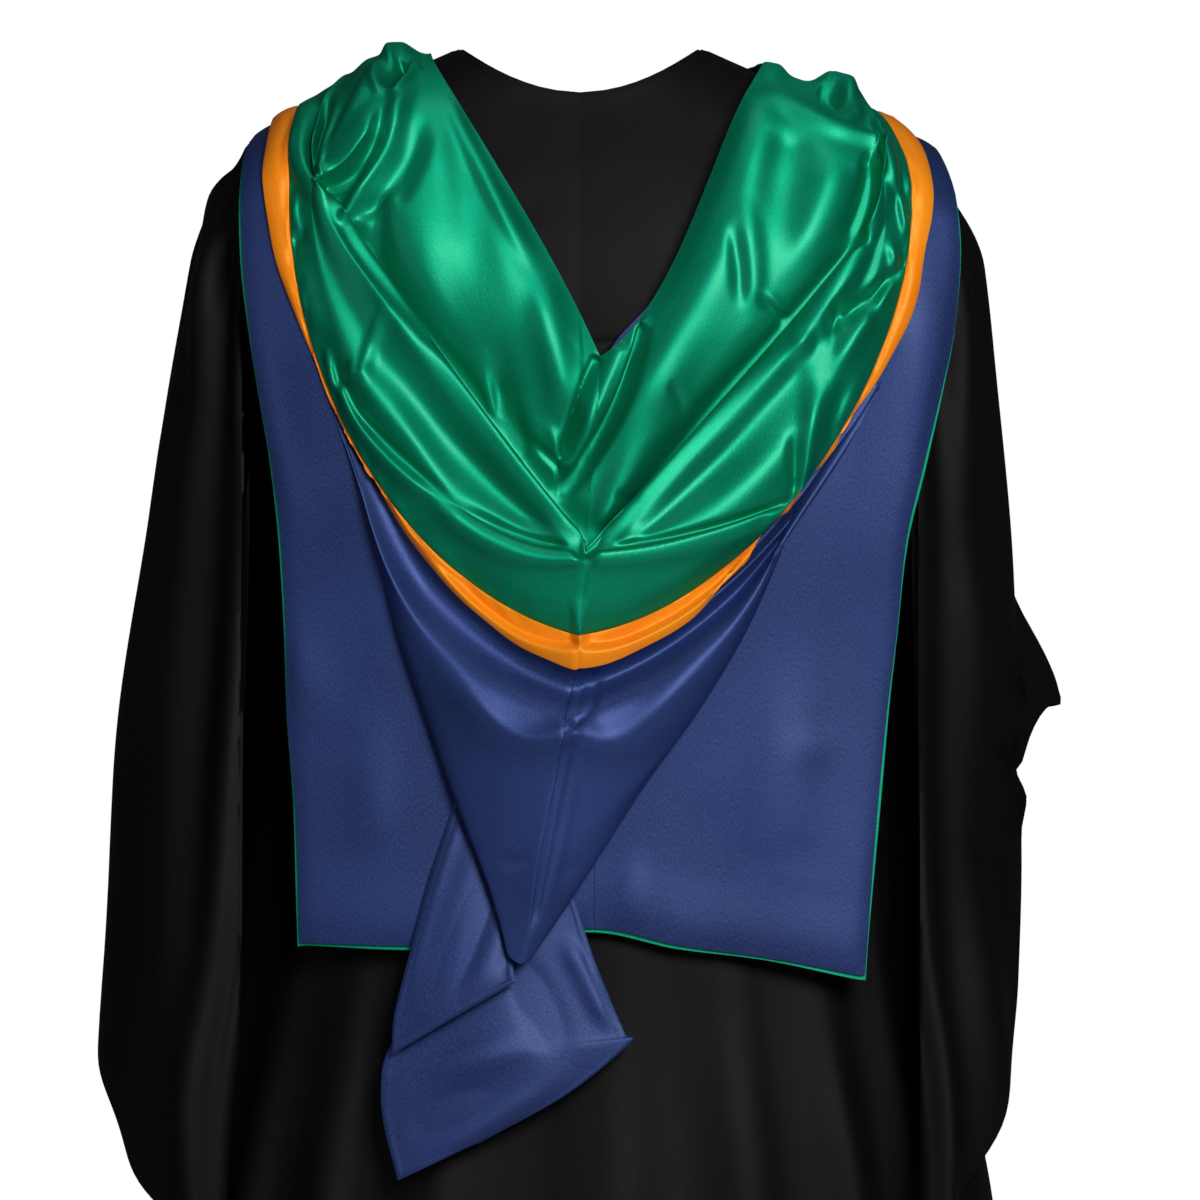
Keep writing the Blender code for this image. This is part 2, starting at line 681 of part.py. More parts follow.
def strap(length, share):
    """Places on the front strap, x and w: a row for each share across it, a column for each length."""
    inner = bezier(STRAP_INNER, np.atleast_1d(length))
    outer = bezier(STRAP_OUTER, np.atleast_1d(length))
    x = inner[None, :, 0] + (outer - inner)[None, :, 0] * share
    w = inner[None, :, 1] + (outer - inner)[None, :, 1] * share
    return x, w


def cowl_whole(columns, t):
    """Both halves of the cowl, from the left shoulder's front round to the right one's."""
    lengths = np.linspace(STRAP_JOIN, 0.06, 4)
    halves = []
    for sign, table in ((-1, COWL_LEFT), (1, COWL_RIGHT)):
        x, w, lift = cowl_grid(columns, t, table)
        start = sign * x[:, 0]
        near = 1 - lengths / STRAP_JOIN
        whole = (start - start.min()) / (start.max() - start.min())
        own = (start / MM - STRAP_INNER[0]) / (STRAP_OUTER[0] - STRAP_INNER[0])
        share = whole[:, None] + (own - whole)[:, None] * ease(near)
        over_x, over_w = strap(lengths, share)
        over_x = sign * over_x
        over_lift = STRAP_LIFT + (lift[:, :1] - STRAP_LIFT) * ease(near)[None, :]
        x = np.concatenate([over_x, x], 1)
        w = np.concatenate([over_w, w], 1)
        lift = np.concatenate([over_lift, lift], 1)
        halves.append(lifted(cape_point, x, w, lift))
    left, right = halves
    centre = (left[:, -1:] + right[:, -1:]) / 2
    return np.concatenate([left[:, :-1], centre, right[:, -2::-1]], 1)


def make_cowl_lining(lining, orange):
    """The green lining and the orange edging, one cloth cut at the centre and at the edging's seam."""
    lining_t = np.linspace(0, LINING_ROWS, 19)
    edging_t = np.linspace(LINING_ROWS, COWL_ROWS, 3)[1:]
    t = np.concatenate([lining_t, edging_t])
    points = cowl_whole(15, t)
    normals = grid_normals(points)
    middle = points.shape[1] // 2
    normals *= np.where(normals[-2, middle, 1] > 0, -1, 1)
    split = len(lining_t)
    for side, part in (("left", slice(0, middle + 1)), ("right", slice(middle, None))):
        piece = narrowed(points[:, part], side == "right", side == "left", 1)
        upper = narrowed(piece[:split], False, True, 0)
        lower = narrowed(piece[split - 1:], True, False, 0)
        wall("cowl_lining_" + side, upper, normals[:split, part], HOOD_WALL, lining)
        wall("edging_" + side, lower, normals[split - 1:, part], HOOD_WALL, orange)


def shell_half(table, cowl_table, columns, t):
    """Half of the navy shell: its first rows hide below the edging, the rest follow the table."""
    s = np.linspace(0, 1, columns)
    under = np.linspace(SHELL_START, 1, columns)
    cx, cz, clift = row_curves(cowl_table, under, 4)
    hidden_x = cx[-3:]
    hidden_z = cz[-3:]
    hidden_lift = clift[-3:] - SHELL_UNDER
    x, z, lift = row_curves(table, s, 3)
    rise = np.sin(s * math.pi / 2) ** 0.6
    edge = np.array([row[8] for row in table])[:, None] * MM
    middle = np.array([row[9] for row in table])[:, None] * MM
    seam = np.array([row[10] for row in table])[:, None] * MM
    lift = edge + (middle - edge) * rise + (seam - middle) * s ** 2
    x = np.concatenate([hidden_x, x])
    z = np.concatenate([hidden_z, z])
    lift = np.concatenate([hidden_lift, lift])
    return between_rows(x, t), between_rows(z, t), between_rows(lift, t)


def make_shell(material):
    """The navy cone under the edging, seamed at the centre, narrowing to the tail."""
    rows = len(SHELL_LEFT) + 3
    t = np.linspace(0, rows - 1, 17)
    halves = []
    for table, cowl_table in ((SHELL_LEFT, COWL_LEFT), (SHELL_RIGHT, COWL_RIGHT)):
        x, z, lift = shell_half(table, cowl_table, 10, t)
        w = along(crest(x) + CAPE_RISE - z)
        halves.append(lifted(cape_point, x, w, lift))
    left, right = halves
    centre = (left[:, -1:] + right[:, -1:]) / 2
    points = np.concatenate([left[:, :-1], centre, right[:, -2::-1]], 1)
    normals = grid_normals(points)
    middle = points.shape[1] // 2
    normals *= np.where(normals[8, middle, 1] > 0, -1, 1)
    for side, part in (("left", slice(0, middle + 1)), ("right", slice(middle, None))):
        piece = narrowed(points[:, part], side == "right", side == "left", 1)
        wall("cowl_" + side, piece, normals[:, part], HOOD_WALL, material)


def tail_grid(table, columns, t):
    s = np.linspace(0, 1, columns)
    x = []
    z = []
    lift = []
    for row in table:
        left_x, left_z, right_x, right_z, lift_left, lift_mid, lift_right = row
        x.append((left_x + (right_x - left_x) * s) * MM)
        z.append((left_z + (right_z - left_z) * s) * MM)
        lift.append(smooth(s, [0, 0.5, 1], np.array([lift_left, lift_mid, lift_right]) * MM))
    x = between_rows(np.array(x), t)
    z = between_rows(np.array(z), t)
    lift = between_rows(np.array(lift), t)
    w = along(crest(x) + CAPE_RISE - z)
    return lifted(cape_point, x, w, lift)


def make_tail(material):
    """The tail: a flap folded over the end that hangs below it."""
    for name, table in (("tail_flap", TAIL_FLAP), ("tail_end", TAIL_END)):
        t = np.linspace(0, len(table) - 1, 9)
        points = tail_grid(table, 7, t)
        normals = grid_normals(points)
        normals *= np.where(normals[4, 3, 1] > 0, -1, 1)
        wall(name, points, normals, HOOD_WALL, material)


def make_bands(material):
    """The plain front bands, which go on from the cowl and meet on the chest."""
    start = STRAP_JOIN + 0.005
    length = start + (1 - start) * np.linspace(0, 1, 10)
    share = np.linspace(0, 1, 5)[:, None]
    for side, sign in (("left", -1), ("right", 1)):
        x, w = strap(length, share)
        x = np.maximum(x, SEAM / 2)
        down = (length - STRAP_JOIN) / (1 - STRAP_JOIN)
        lift = STRAP_LIFT + (STRAP_END_LIFT - STRAP_LIFT) * ease(down / 0.5)
        points = lifted(cape_point, sign * x, w, lift + 0 * x)
        normals = grid_normals(points)
        normals *= np.where(normals[2, 5, 1] < 0, -1, 1)
        normals[:, -1, 0] = 0
        points = narrowed(points, True, False, 1)
        wall("band_" + side, points, normals, HOOD_WALL, material)


def main():
    for old in list(bpy.data.objects):
        bpy.data.objects.remove(old)
    black = cloth("gown_black", GOWN_BLACK, 0.75)
    navy = cloth("satin_navy", SATIN_NAVY, 0.42)
    green = cloth("satin_green", SATIN_GREEN, 0.30)
    orange = cloth("satin_orange", SATIN_ORANGE, 0.38)
    make_yokes(black)
    make_back(black)
    make_fronts(black)
    make_sleeves(black)
    make_cape(navy, green)
    make_cowl_lining(green, orange)
    make_shell(navy)
    make_tail(navy)
    make_bands(navy)


main()
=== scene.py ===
"""Finished look of the academic gown and the hood worn over it, seen from behind.

Metres, +Z up, the back toward -Y. The cloth pieces follow the solids' own forms, which the
first tables and functions repeat, with the finer folds, hems and seams laid on top.
"""

import math

import bpy
import numpy as np
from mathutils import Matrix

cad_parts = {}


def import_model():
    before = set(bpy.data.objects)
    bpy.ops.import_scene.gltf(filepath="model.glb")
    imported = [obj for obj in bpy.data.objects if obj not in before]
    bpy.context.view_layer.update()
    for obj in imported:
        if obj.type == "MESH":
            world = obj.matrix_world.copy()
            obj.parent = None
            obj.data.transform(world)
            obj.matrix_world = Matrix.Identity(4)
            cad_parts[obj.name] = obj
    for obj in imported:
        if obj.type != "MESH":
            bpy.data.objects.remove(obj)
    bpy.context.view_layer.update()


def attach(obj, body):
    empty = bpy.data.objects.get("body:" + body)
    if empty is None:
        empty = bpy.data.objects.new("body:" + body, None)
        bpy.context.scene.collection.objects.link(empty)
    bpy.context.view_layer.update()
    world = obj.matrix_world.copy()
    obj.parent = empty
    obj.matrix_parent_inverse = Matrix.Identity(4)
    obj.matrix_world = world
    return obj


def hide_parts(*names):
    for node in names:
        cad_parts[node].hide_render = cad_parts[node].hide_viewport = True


MM = 0.001
SEAM = 0.3 * MM
GOWN_WALL = 1.5 * MM
HOOD_WALL = 1.2 * MM
LAYER_GAP = 0.3 * MM

# The shoulder line, a slope from the neck out to the armhole.
NECK_HALF = 85 * MM
NECK_RISE = 34 * MM
SHOULDER_SLOPE = math.tan(math.radians(24))
SHOULDER_ARCH = 50 * MM
ARMHOLE_X = 235 * MM
ARMPIT_DROP = 270 * MM
YOKE_DROP = 177 * MM
GOWN_LENGTH = 1200 * MM

# The figure's level sections, which the gown hangs on.
BODY_ROUND = 2.6
BODY = (
    # drop, half_width, back, front
    (-80, 300, 50, 40),
    (0, 292, 70, 58),
    (60, 285, 95, 82),
    (120, 275, 112, 102),
    (180, 260, 120, 116),
    (270, 235, 120, 122),
    (400, 237, 117, 122),
    (600, 250, 125, 130),
    (780, 284, 140, 142),
    (1000, 310, 158, 154),
    (1200, 330, 172, 165),
)

# The flat form that the hood's cape lies on: wider and squarer than the body.
CAPE_HALF = 345 * MM
CAPE_ROUND = 3.0
CAPE_CLEAR = 16 * MM
CAPE_RISE = 3.4 * MM
CAPE_FRONT = 30 * MM
CAPE_FRONT_EDGE = 200 * MM
CAPE_OUTER_EDGE = (
    # drop, left, right
    (-10, 208, 226),
    (20, 224, 240),
    (50, 237, 256),
    (80, 238, 264),
    (117, 237, 267),
    (169, 232, 263),
    (217, 225, 253),
    (267, 216, 241),
    (324, 209, 228),
    (384, 206, 222),
    (440, 205, 215),
    (512, 199, 208),
    (600, 196, 201),
    (640, 195, 198),
)
CAPE_NECK_EDGE = (
    # drop, left, right
    (-30, 115, 137),
    (0, 98, 119),
    (40, 78, 103),
    (76, 60, 88),
    (113, 38, 70),
    (150, 16, 52),
    (185, -6, 22),
    (215, -10, 10),
)
CAPE_HEM = (
    # across, drop
    (-200, 601),
    (-120, 603),
    (10, 591),
    (70, 603),
    (134, 612),
    (195, 624),
)

# The cowl's key lines, each a curve from the shoulder crest down to the centre seam.
# pull columns are the curve's two handles; lift is how far the cloth stands off the cape.
COWL_LEFT = (
    # start_x, start_z, pull1_x, pull1_z, pull2_x, pull2_z, end_x, end_z, lift_0, lift_1, lift_2, lift_3
    (-105, 25, -80, -25, -25, -100, 14, -188, 4, 5, 4, 5),
    (-117, 22, -100, -38, -32, -118, 9, -212, 7, 11, 12, 11),
    (-131, 14, -124, -50, -44, -135, 5, -240, 15, 14, 16, 14),
    (-144, 10, -185, -68, -72, -152, 2, -285, 17, 14, 12, 9),
    (-156, 5, -230, -75, -98, -162, 2, -330, 13, 8, 6, 12),
    (-163, 2, -240, -82, -105, -172, 2, -320, 13, 19, 19, 38),
    (-170, -2, -232, -110, -110, -236, 2, -325, 11, 15, 19, 41),
    (-178, -6, -222, -145, -104, -318, 3, -331, 10, 16, 30, 48),
    (-188, -10, -226, -160, -116, -342, 1, -356, 8, 10, 25, 46),
    (-197, -14, -228, -170, -130, -350, -1, -382, 7, 6, 20, 46),
    (-205, -18, -239, -156, -120, -368, -1, -395, 7, 5, 17, 44),
    (-213, -21, -248, -142, -110, -385, -1, -407, 6, 4, 14, 41),
)
COWL_RIGHT = (
    (127, 15, 95, -30, 70, -155, 14, -188, 4, 5, 4, 5),
    (138, 12, 116, -42, 74, -166, 17, -214, 5, 12, 12, 11),
    (150, 8, 148, -60, 80, -172, 18, -244, 5, 15, 17, 15),
    (166, 2, 210, -78, 92, -188, 12, -288, 8, 14, 13, 9),
    (182, -8, 258, -95, 100, -200, 7, -332, 13, 8, 6, 12),
    (190, -10, 266, -102, 108, -208, 7, -320, 14, 18, 20, 38),
    (194, -12, 264, -112, 118, -250, 7, -325, 12, 15, 21, 41),
    (198, -14, 260, -115, 126, -326, 6, -330, 10, 16, 32, 48),
    (202, -15, 272, -108, 150, -346, 3, -356, 8, 11, 27, 47),
    (207, -17, 286, -97, 154, -362, -1, -382, 7, 7, 20, 46),
    (214, -19, 298, -94, 147, -376, -1, -395, 7, 6, 17, 44),
    (221, -22, 309, -92, 139, -388, -1, -407, 6, 5, 14, 41),
)
LINING_ROWS = 9
COWL_ROWS = 11

# The navy shell below the edging, from its outer edge in to the centre seam.
SHELL_UNDER = 3.6 * MM
SHELL_LEFT = (
    # start_x, start_z, pull1_x, pull1_z, pull2_x, pull2_z, end_x, end_z, lift_edge, lift_mid, lift_seam
    (-153, -276, -138, -350, -72, -412, -8, -428, 5, 30, 42),
    (-141, -322, -122, -385, -66, -446, -11, -452, 4, 34, 45),
    (-128, -378, -108, -425, -58, -470, -15, -478, 5, 32, 40),
    (-104, -449, -86, -480, -48, -506, -22, -512, 9, 29, 37),
    (-84, -505, -68, -526, -45, -545, -29, -550, 15, 28, 34),
    (-62, -562, -54, -572, -42, -584, -34, -588, 21, 27, 30),
    (-50, -606, -48, -609, -44, -612, -41, -613, 24, 26, 27),
)
SHELL_RIGHT = (
    (149, -296, 133, -347, 66, -412, -8, -428, 3, 30, 42),
    (140, -325, 112, -384, 56, -446, -11, -452, 4, 34, 45),
    (116, -380, 88, -425, 40, -470, -15, -478, 4, 32, 40),
    (83, -435, 58, -474, 12, -506, -22, -512, 6, 29, 37),
    (44, -490, 22, -515, -8, -545, -29, -550, 10, 28, 34),
    (-2, -562, -12, -573, -26, -584, -34, -588, 16, 26, 30),
    (-32, -606, -34, -609, -38, -612, -41, -613, 22, 25, 27),
)
SHELL_START = 0.46

TAIL_FLAP = (
    # left_x, left_z, right_x, right_z, lift_left, lift_mid, lift_right
    (-74, -482, -52, -500, 2, 2, 2),
    (-87, -499, -50, -520, 3, 5, 4),
    (-97, -528, -46, -548, 5, 9, 7),
    (-107, -560, -46, -580, 7, 13, 11),
    (-116, -596, -46, -604, 9, 17, 16),
    (-124, -628, -46, -618, 12, 20, 20),
    (-129, -652, -45, -622, 13, 21, 21),
    (-130, -676, -44, -625, 14, 20, 22),
)
TAIL_END = (
    (-62, -548, -12, -540, 2, 2, 2),
    (-72, -580, -2, -572, 2, 5, 3),
    (-90, -612, 9, -606, 3, 8, 5),
    (-116, -645, 20, -634, 4, 11, 6),
    (-134, -674, 31, -660, 5, 13, 7),
    (-138, -696, 34, -668, 7, 14, 8),
    (-136, -724, -10, -704, 8, 14, 9),
    (-126, -763, -70, -737, 9, 12, 9),
)

# The strap that carries the hood over the shoulder to the chest, as curves in x and w.
STRAP_INNER = (105, 0, 106, -60, 60, -165, 0, -210)
STRAP_OUTER = (212, 0, 206, -90, 92, -235, 0, -285)
STRAP_JOIN = 0.30
STRAP_LIFT = 5 * MM
STRAP_END_LIFT = -4.5 * MM

SLEEVE_OUT = (
    # drop, left, right, reach_back, reach_front, wrap
    (20, 244, 250, 48, 48, 0),
    (60, 264, 270, 62, 62, 2),
    (115, 276, 284, 78, 80, 14),
    (207, 292, 295, 92, 98, 36),
    (343, 311, 306, 112, 112, 50),
    (480, 329, 309, 130, 120, 54),
    (587, 335, 311, 140, 124, 56),
    (694, 340, 315, 148, 124, 52),
    (800, 336, 312, 152, 122, 58),
    (900, 330, 308, 152, 120, 62),
)
SLEEVE_HEM = (
    # turn (parts of a circle from the outer side, by the back, inside and front), left, right
    (0.00, 640, 480),
    (0.03, 672, 528),
    (0.07, 708, 640),
    (0.12, 756, 712),
    (0.18, 800, 778),
    (0.26, 838, 826),
    (0.36, 850, 846),
    (0.50, 812, 806),
    (0.64, 710, 696),
    (0.78, 600, 560),
    (0.90, 570, 438),
    (0.95, 596, 432),
    (1.00, 640, 480),
)
SLEEVE_FOLDS = (
    # turn, width, top, hem
    (0.05, 0.035, 3, 6),
    (0.13, 0.030, 4, 9),
    (0.21, 0.028, 5, 12),
    (0.29, 0.030, 4, 9),
    (0.37, 0.034, 2, 8),
    (0.66, 0.040, 2, 8),
    (0.75, 0.034, 4, 10),
    (0.84, 0.030, 4, 8),
    (0.92, 0.032, 3, 6),
)
SLEEVE_FLARE = (
    # turn, width, left, right: how far the hem kicks out
    (0.93, 0.045, 6, 42),
    (0.10, 0.040, 3, 4),
)
SLEEVE_CLEAR = 7 * MM

BACK_FOLDS = (
    # across at the yoke, across at the hem (parts of the half width), width, top, hem
    (-0.72, -0.80, 0.060, 1, 14),
    (-0.50, -0.60, 0.055, 2, 20),
    (-0.31, -0.41, 0.050, 3, 17),
    (-0.12, -0.20, 0.055, 2, 22),
    (0.04, 0.02, 0.045, 3, 16),
    (0.19, 0.22, 0.055, 2, 21),
    (0.36, 0.44, 0.050, 3, 18),
    (0.55, 0.63, 0.055, 2, 20),
    (0.74, 0.82, 0.055, 1, 13),
)
FRONT_FOLDS = (
    (0.42, 0.36, 0.090, 1, 13),
    (0.58, 0.56, 0.080, 2, 18),
    (0.75, 0.78, 0.075, 1, 15),
)
BACK_GATHERS = 34.5
BACK_GATHER_HEIGHT = 1.6 * MM
FRONT_EDGE = (
    # drop, across
    (0, 86),
    (60, 70),
    (200, 52),
    (600, 46),
    (1200, 44),
)


# Columns and rows of each piece's fine mesh; the cowl's columns leave out those over the crest.
YOKE_MESH = (97, 48)
BACK_MESH = (220, 104)
FRONT_MESH = (60, 80)
SLEEVE_MESH = (152, 108)
CAPE_MESH = (121, 91)
COWL_COLUMNS = 212
OVER_CREST_COLUMNS = 14
LINING_LINES = 200
EDGING_LINES = 24
SHELL_MESH = (76, 120)
TAIL_MESH = (64, 84)
BAND_MESH = (60, 30)

# Turned hems: how wide, and how much thicker the cloth is there.
NECK_HEM = (6 * MM, 0.5 * MM)
FRONT_HEM = (14 * MM, 0.5 * MM)
BOTTOM_HEM = (22 * MM, 0.4 * MM)
SLEEVE_EDGE_HEM = (7 * MM, 0.8 * MM)
CAPE_HEM_LINE = 37 * MM
TAIL_STITCH = 5 * MM
BAND_STITCH = 6 * MM
# Above this height the cowl's centre is one fold, and below it a seam shows.
LOW_SEAM = -322 * MM
# How far the cape's neck edge is moved out, so that the cowl covers it.
NECK_MOVE = 6 * MM

# The narrowest fold that the meshes carry.
FINEST = 3 * MM
# Finer form that is laid on the solids' shapes, in millimetres. Each row is a fold from its
# start through its middle to its end, seen from behind, with its widths there. A height above
# zero is a ridge and below zero a trough; the fades are the shares of it that run out. The lean,
# 1 where it isn't given, is how many times wider it is on the right of its way than on its left.
CREASES = (
    # start_x, start_z, mid_x, mid_z, end_x, end_z, width_start, width_mid, width_end, height,
    # fade_start, fade_end, lean
    # The left shoulder: folds that run together at one pinched point, and a looped fold on the crest.
    (-184, -62, -164, -20, -141, 26, 3, 3.4, 4, 3.4, 0.04, 0.2, 1.8),
    (-186, -63, -162, -43, -136, 0, 3, 7.5, 9.5, 8, 0.05, 0.3),
    (-183, -67, -156, -58, -129, -4, 3, 6.5, 7.5, -12, 0.06, 0.3),
    (-168, -97, -144, -50, -117, 14, 3, 6, 7, 8, 0.05, 0.25),
    (-158, -92, -128, -58, -108, 2, 4, 7, 9, -6.5, 0.15, 0.4),
    (-130, -84, -116, -52, -100, -14, 5, 7, 7, -3.5, 0.2, 0.45),
    (-139, -66, -141, -98, -138, -130, 5, 7, 8, -4.5, 0.3, 0.45),
    (-186, -63, -188, -38, -176, 0, 3, 5, 7, -11, 0.05, 0.25),
    (-184, -60, -178, -32, -168, 4, 3, 3.4, 4.4, 3.4, 0.1, 0.3),
    (-172, -84, -199, -50, -187, 2, 4, 5, 6, 6.5, 0.3, 0.25),
    (-184, -64, -175, -82, -163, -100, 3, 3, 3, 3.6, 0.04, 0.12),
    (-122, 18, -130, 10, -136, 2, 3.6, 4.2, 4.2, -15, 0.2, 0.15),
    (-138, -5, -144, 10, -137, 24, 3.6, 4.4, 4.4, 4, 0.25, 0.3),
    (-142, 17, -127, 27, -110, 20, 6, 7, 6, 11, 0.35, 0.35),
    (-111, 20, -121, 11, -136, -6, 4, 3.8, 3.6, 4.5, 0.2, 0.2),
    (-199, -70, -200, -88, -195, -101, 3, 3, 3, 2.4, 0.35, 0.15),
    (-201, -108, -196, -104, -190, -99, 3, 3, 3, -2.8, 0.1, 0.35),
    # The left wall, between the neck and the roll.
    (-114, -60, -112, -128, -98, -206, 16, 20, 18, 3.8, 0.45, 0.5),
    (-90, -10, -76, -82, -62, -160, 10, 15, 13, -3.8, 0.4, 0.5),
    (-98, 6, -58, -78, -22, -138, 5, 6, 8, 3, 0.2, 0.4),
    (-30, -120, -20, -172, -12, -236, 9, 12, 8, 5, 0.4, 0.25),
    (-62, -170, -52, -214, -36, -262, 9, 9, 6, -5, 0.5, 0.15),
    (-54, -230, -56, -214, -61, -192, 3, 4, 5.4, -3.4, 0.08, 0.55),
    (-60, -228, -64, -214, -68, -194, 3, 4, 5.4, 1.8, 0.1, 0.55),
    (-11, -268, -24, -256, -40, -240, 3, 3, 4, -3, 0.1, 0.5),
    (-14, -258, -18, -246, -24, -232, 3, 3.6, 4.4, 1.8, 0.25, 0.5),
    # The left roll: a lip with the wall's shadow behind it, a hollow, and the lower swells.
    (2, -325, -80, -222, -184, -68, 5, 15, 4, 5.5, 0.12, 0.12, 0.25),
    (3, -318, -75, -215, -170, -86, 3, 3, 3, -4.5, 0.1, 0.1, 3.6),
    (-16, -313, -74, -268, -126, -196, 6, 14, 13, -6.5, 0.2, 0.5),
    (-132, -146, -146, -178, -152, -206, 6, 6, 5, 3, 0.4, 0.2, 0.6),
    (-196, -110, -190, -148, -176, -184, 6, 8, 6, 2.6, 0.4, 0.4),
    (4, -329, -54, -322, -108, -284, 5, 10, 9, 5.5, 0.06, 0.2, 0.4),
    (-88, -298, -142, -252, -168, -206, 9, 7, 4, 5.5, 0.3, 0.06, 0.5),
    (-163, -198, -136, -220, -84, -286, 7, 11, 5, 5, 0.08, 0.35),
    (-160, -220, -128, -254, -88, -290, 2.6, 4, 3, -4, 0.3, 0.3),
    (-6, -321, -46, -312, -92, -288, 3, 4.4, 6, -5, 0.15, 0.35),
    (-176, -180, -175, -196, -170, -214, 2.2, 2.4, 2.6, 2.6, 0.3, 0.2),
    (-171, -186, -169, -200, -166, -212, 2.2, 2.4, 2.6, -2.6, 0.3, 0.2),
    # The point of the neckline, where the right side's cloth passes under the left's.
    (14, -188, -1, -222, -12, -262, 3, 3.4, 4, -8, 0.06, 0.12),
    (28, -176, 12, -220, -12, -278, 8, 6.5, 4, 6, 0.1, 0.15),
    (45, -164, 26, -226, -15, -288, 3.4, 5, 5, -12, 0.06, 0.1),
    (-16, -287, -13, -275, -9, -262, 1.8, 1.8, 2, -3, 0.1, 0.3),
    (24, -280, 32, -288, 44, -288, 3, 3.4, 3, -2.4, 0.35, 0.15),
    (62, -206, 68, -216, 76, -236, 2.6, 3.4, 4, -2.4, 0.4, 0.4),
    # The right shoulder: a sagging fold below two bumps on the crest, and a deep valley.
    (210, -36, 168, -22, 124, 8, 3.4, 6, 9, 6.5, 0.05, 0.25),
    (118, 10, 134, 16, 150, 6, 8, 9, 8, 6, 0.4, 0.4),
    (164, 0, 180, 6, 198, -12, 6, 8, 6, 12, 0.3, 0.3),
    (168, -3, 176, -4, 182, -11, 4, 4.6, 4.2, -17, 0.15, 0.15),
    (194, -6, 192, -18, 178, -22, 4.6, 5.4, 5, 4, 0.3, 0.35),
    (210, -34, 218, -62, 201, -105, 3, 4.8, 4, 6.5, 0.06, 0.12),
    (206, -18, 219, -58, 229, -104, 3, 3, 3, 3.8, 0.06, 0.1),
    (223, -46, 229, -66, 231, -92, 4, 4.4, 4.4, 2.6, 0.35, 0.35),
    (203, -42, 201, -76, 184, -116, 4, 7.5, 8, -9, 0.12, 0.25),
    (152, -24, 144, -64, 134, -124, 13, 18, 14, -4.5, 0.25, 0.5),
    (182, -40, 171, -84, 148, -142, 11, 16, 14, 4, 0.35, 0.35),
    # The right wall's broad swell and the lesser folds on it.
    (128, 8, 104, -88, 60, -200, 13, 22, 22, 4.5, 0.1, 0.35),
    (76, -150, 46, -236, 12, -312, 20, 18, 7, 7, 0.4, 0.1),
    (114, -74, 121, -116, 120, -162, 6, 7.5, 6, 2.8, 0.45, 0.25),
    (104, -92, 110, -122, 112, -158, 4.4, 5.5, 5, -3, 0.4, 0.35),
    (148, -166, 136, -156, 123, -145, 2.2, 2.8, 3.6, -4.6, 0.1, 0.4),
    (146, -160, 136, -150, 126, -140, 2.2, 2.8, 3, 2.6, 0.15, 0.45),
    # The right roll, crumpled next to the edging.
    (13, -320, 104, -213, 203, -102, 6, 10, 7, -5.5, 0.08, 0.08, 0.3),
    (20, -328, 112, -224, 206, -111, 5, 11, 6, 3.4, 0.15, 0.12),
    (30, -318, 84, -276, 140, -230, 5, 12, 12, -3.5, 0.15, 0.5),
    (201, -110, 180, -136, 152, -170, 4, 9, 10, 3.6, 0.1, 0.45),
    (224, -124, 204, -146, 176, -166, 3, 6, 5, -7, 0.15, 0.25),
    (181, -148, 178, -160, 177, -174, 3.4, 4, 3.4, -4.5, 0.3, 0.25),
    (213, -106, 220, -126, 206, -154, 3.4, 3.6, 3.4, 3.8, 0.25, 0.15),
    (206, -156, 190, -178, 170, -204, 5, 8, 8, 3.8, 0.2, 0.4),
    (152, -168, 158, -186, 167, -214, 7, 9, 8, 3.4, 0.35, 0.4),
    (167, -160, 170, -178, 168, -204, 4.4, 5.4, 6, 2.4, 0.4, 0.45),
    (151, -291, 160, -250, 167, -194, 2.4, 6, 9, 7, 0.05, 0.4),
    (150, -284, 150, -262, 148, -236, 2, 4, 5, -4.5, 0.15, 0.45),
    (173, -258, 179, -226, 190, -196, 3, 5, 5, -3, 0.25, 0.4),
    (229, -122, 223, -124, 214, -128, 2.2, 2.6, 3, -3, 0.1, 0.5),
    (6, -329, 78, -319, 153, -292, 3.2, 4.4, 3.2, 5.5, 0.06, 0.06, 2.4),
    (18, -322, 84, -310, 148, -288, 3, 3.4, 3, -4, 0.12, 0.12),
    (2, -387, 56, -373, 130, -318, 19, 17, 9, -12, 0.02, 0.2, 0.2),
    (-2, -387, -52, -372, -112, -314, 3.4, 3.4, 3.4, -11, 0.02, 0.3, 5.2),
)
# Folds that lap over the cloth on the right of their way; the height is how far they lap.
LAPS = (
    (4, -324, -79, -221, -184, -67, 2.6, 4, 2.4, 5, 0.04, 0.06),
    (205, -106, 106, -219, 12, -323, 2.4, 3.4, 2.6, 4.2, 0.06, 0.05),
    (6, -329, 78, -318, 153, -292, 2.4, 3.2, 2.4, -3.6, 0.05, 0.06),
    (47, -158, 26, -224, -14, -286, 2.6, 3.6, 3.4, 4.2, 0.06, 0.1),
    (-16, -286, 0, -222, 14, -186, 2.4, 3, 2.6, -3, 0.1, 0.06),
    (-184, -62, -163, -44, -140, -6, 2.4, 4, 5, 4.5, 0.06, 0.3),
    (211, -38, 216, -66, 201, -106, 2.4, 3.6, 3, 3.6, 0.08, 0.08),
    (-172, -84, -196, -50, -184, 0, 3, 4, 4, 3.6, 0.2, 0.2),
    (-2, -327, -54, -317, -104, -282, 2.4, 3.4, 3.6, 3.2, 0.05, 0.2),
)
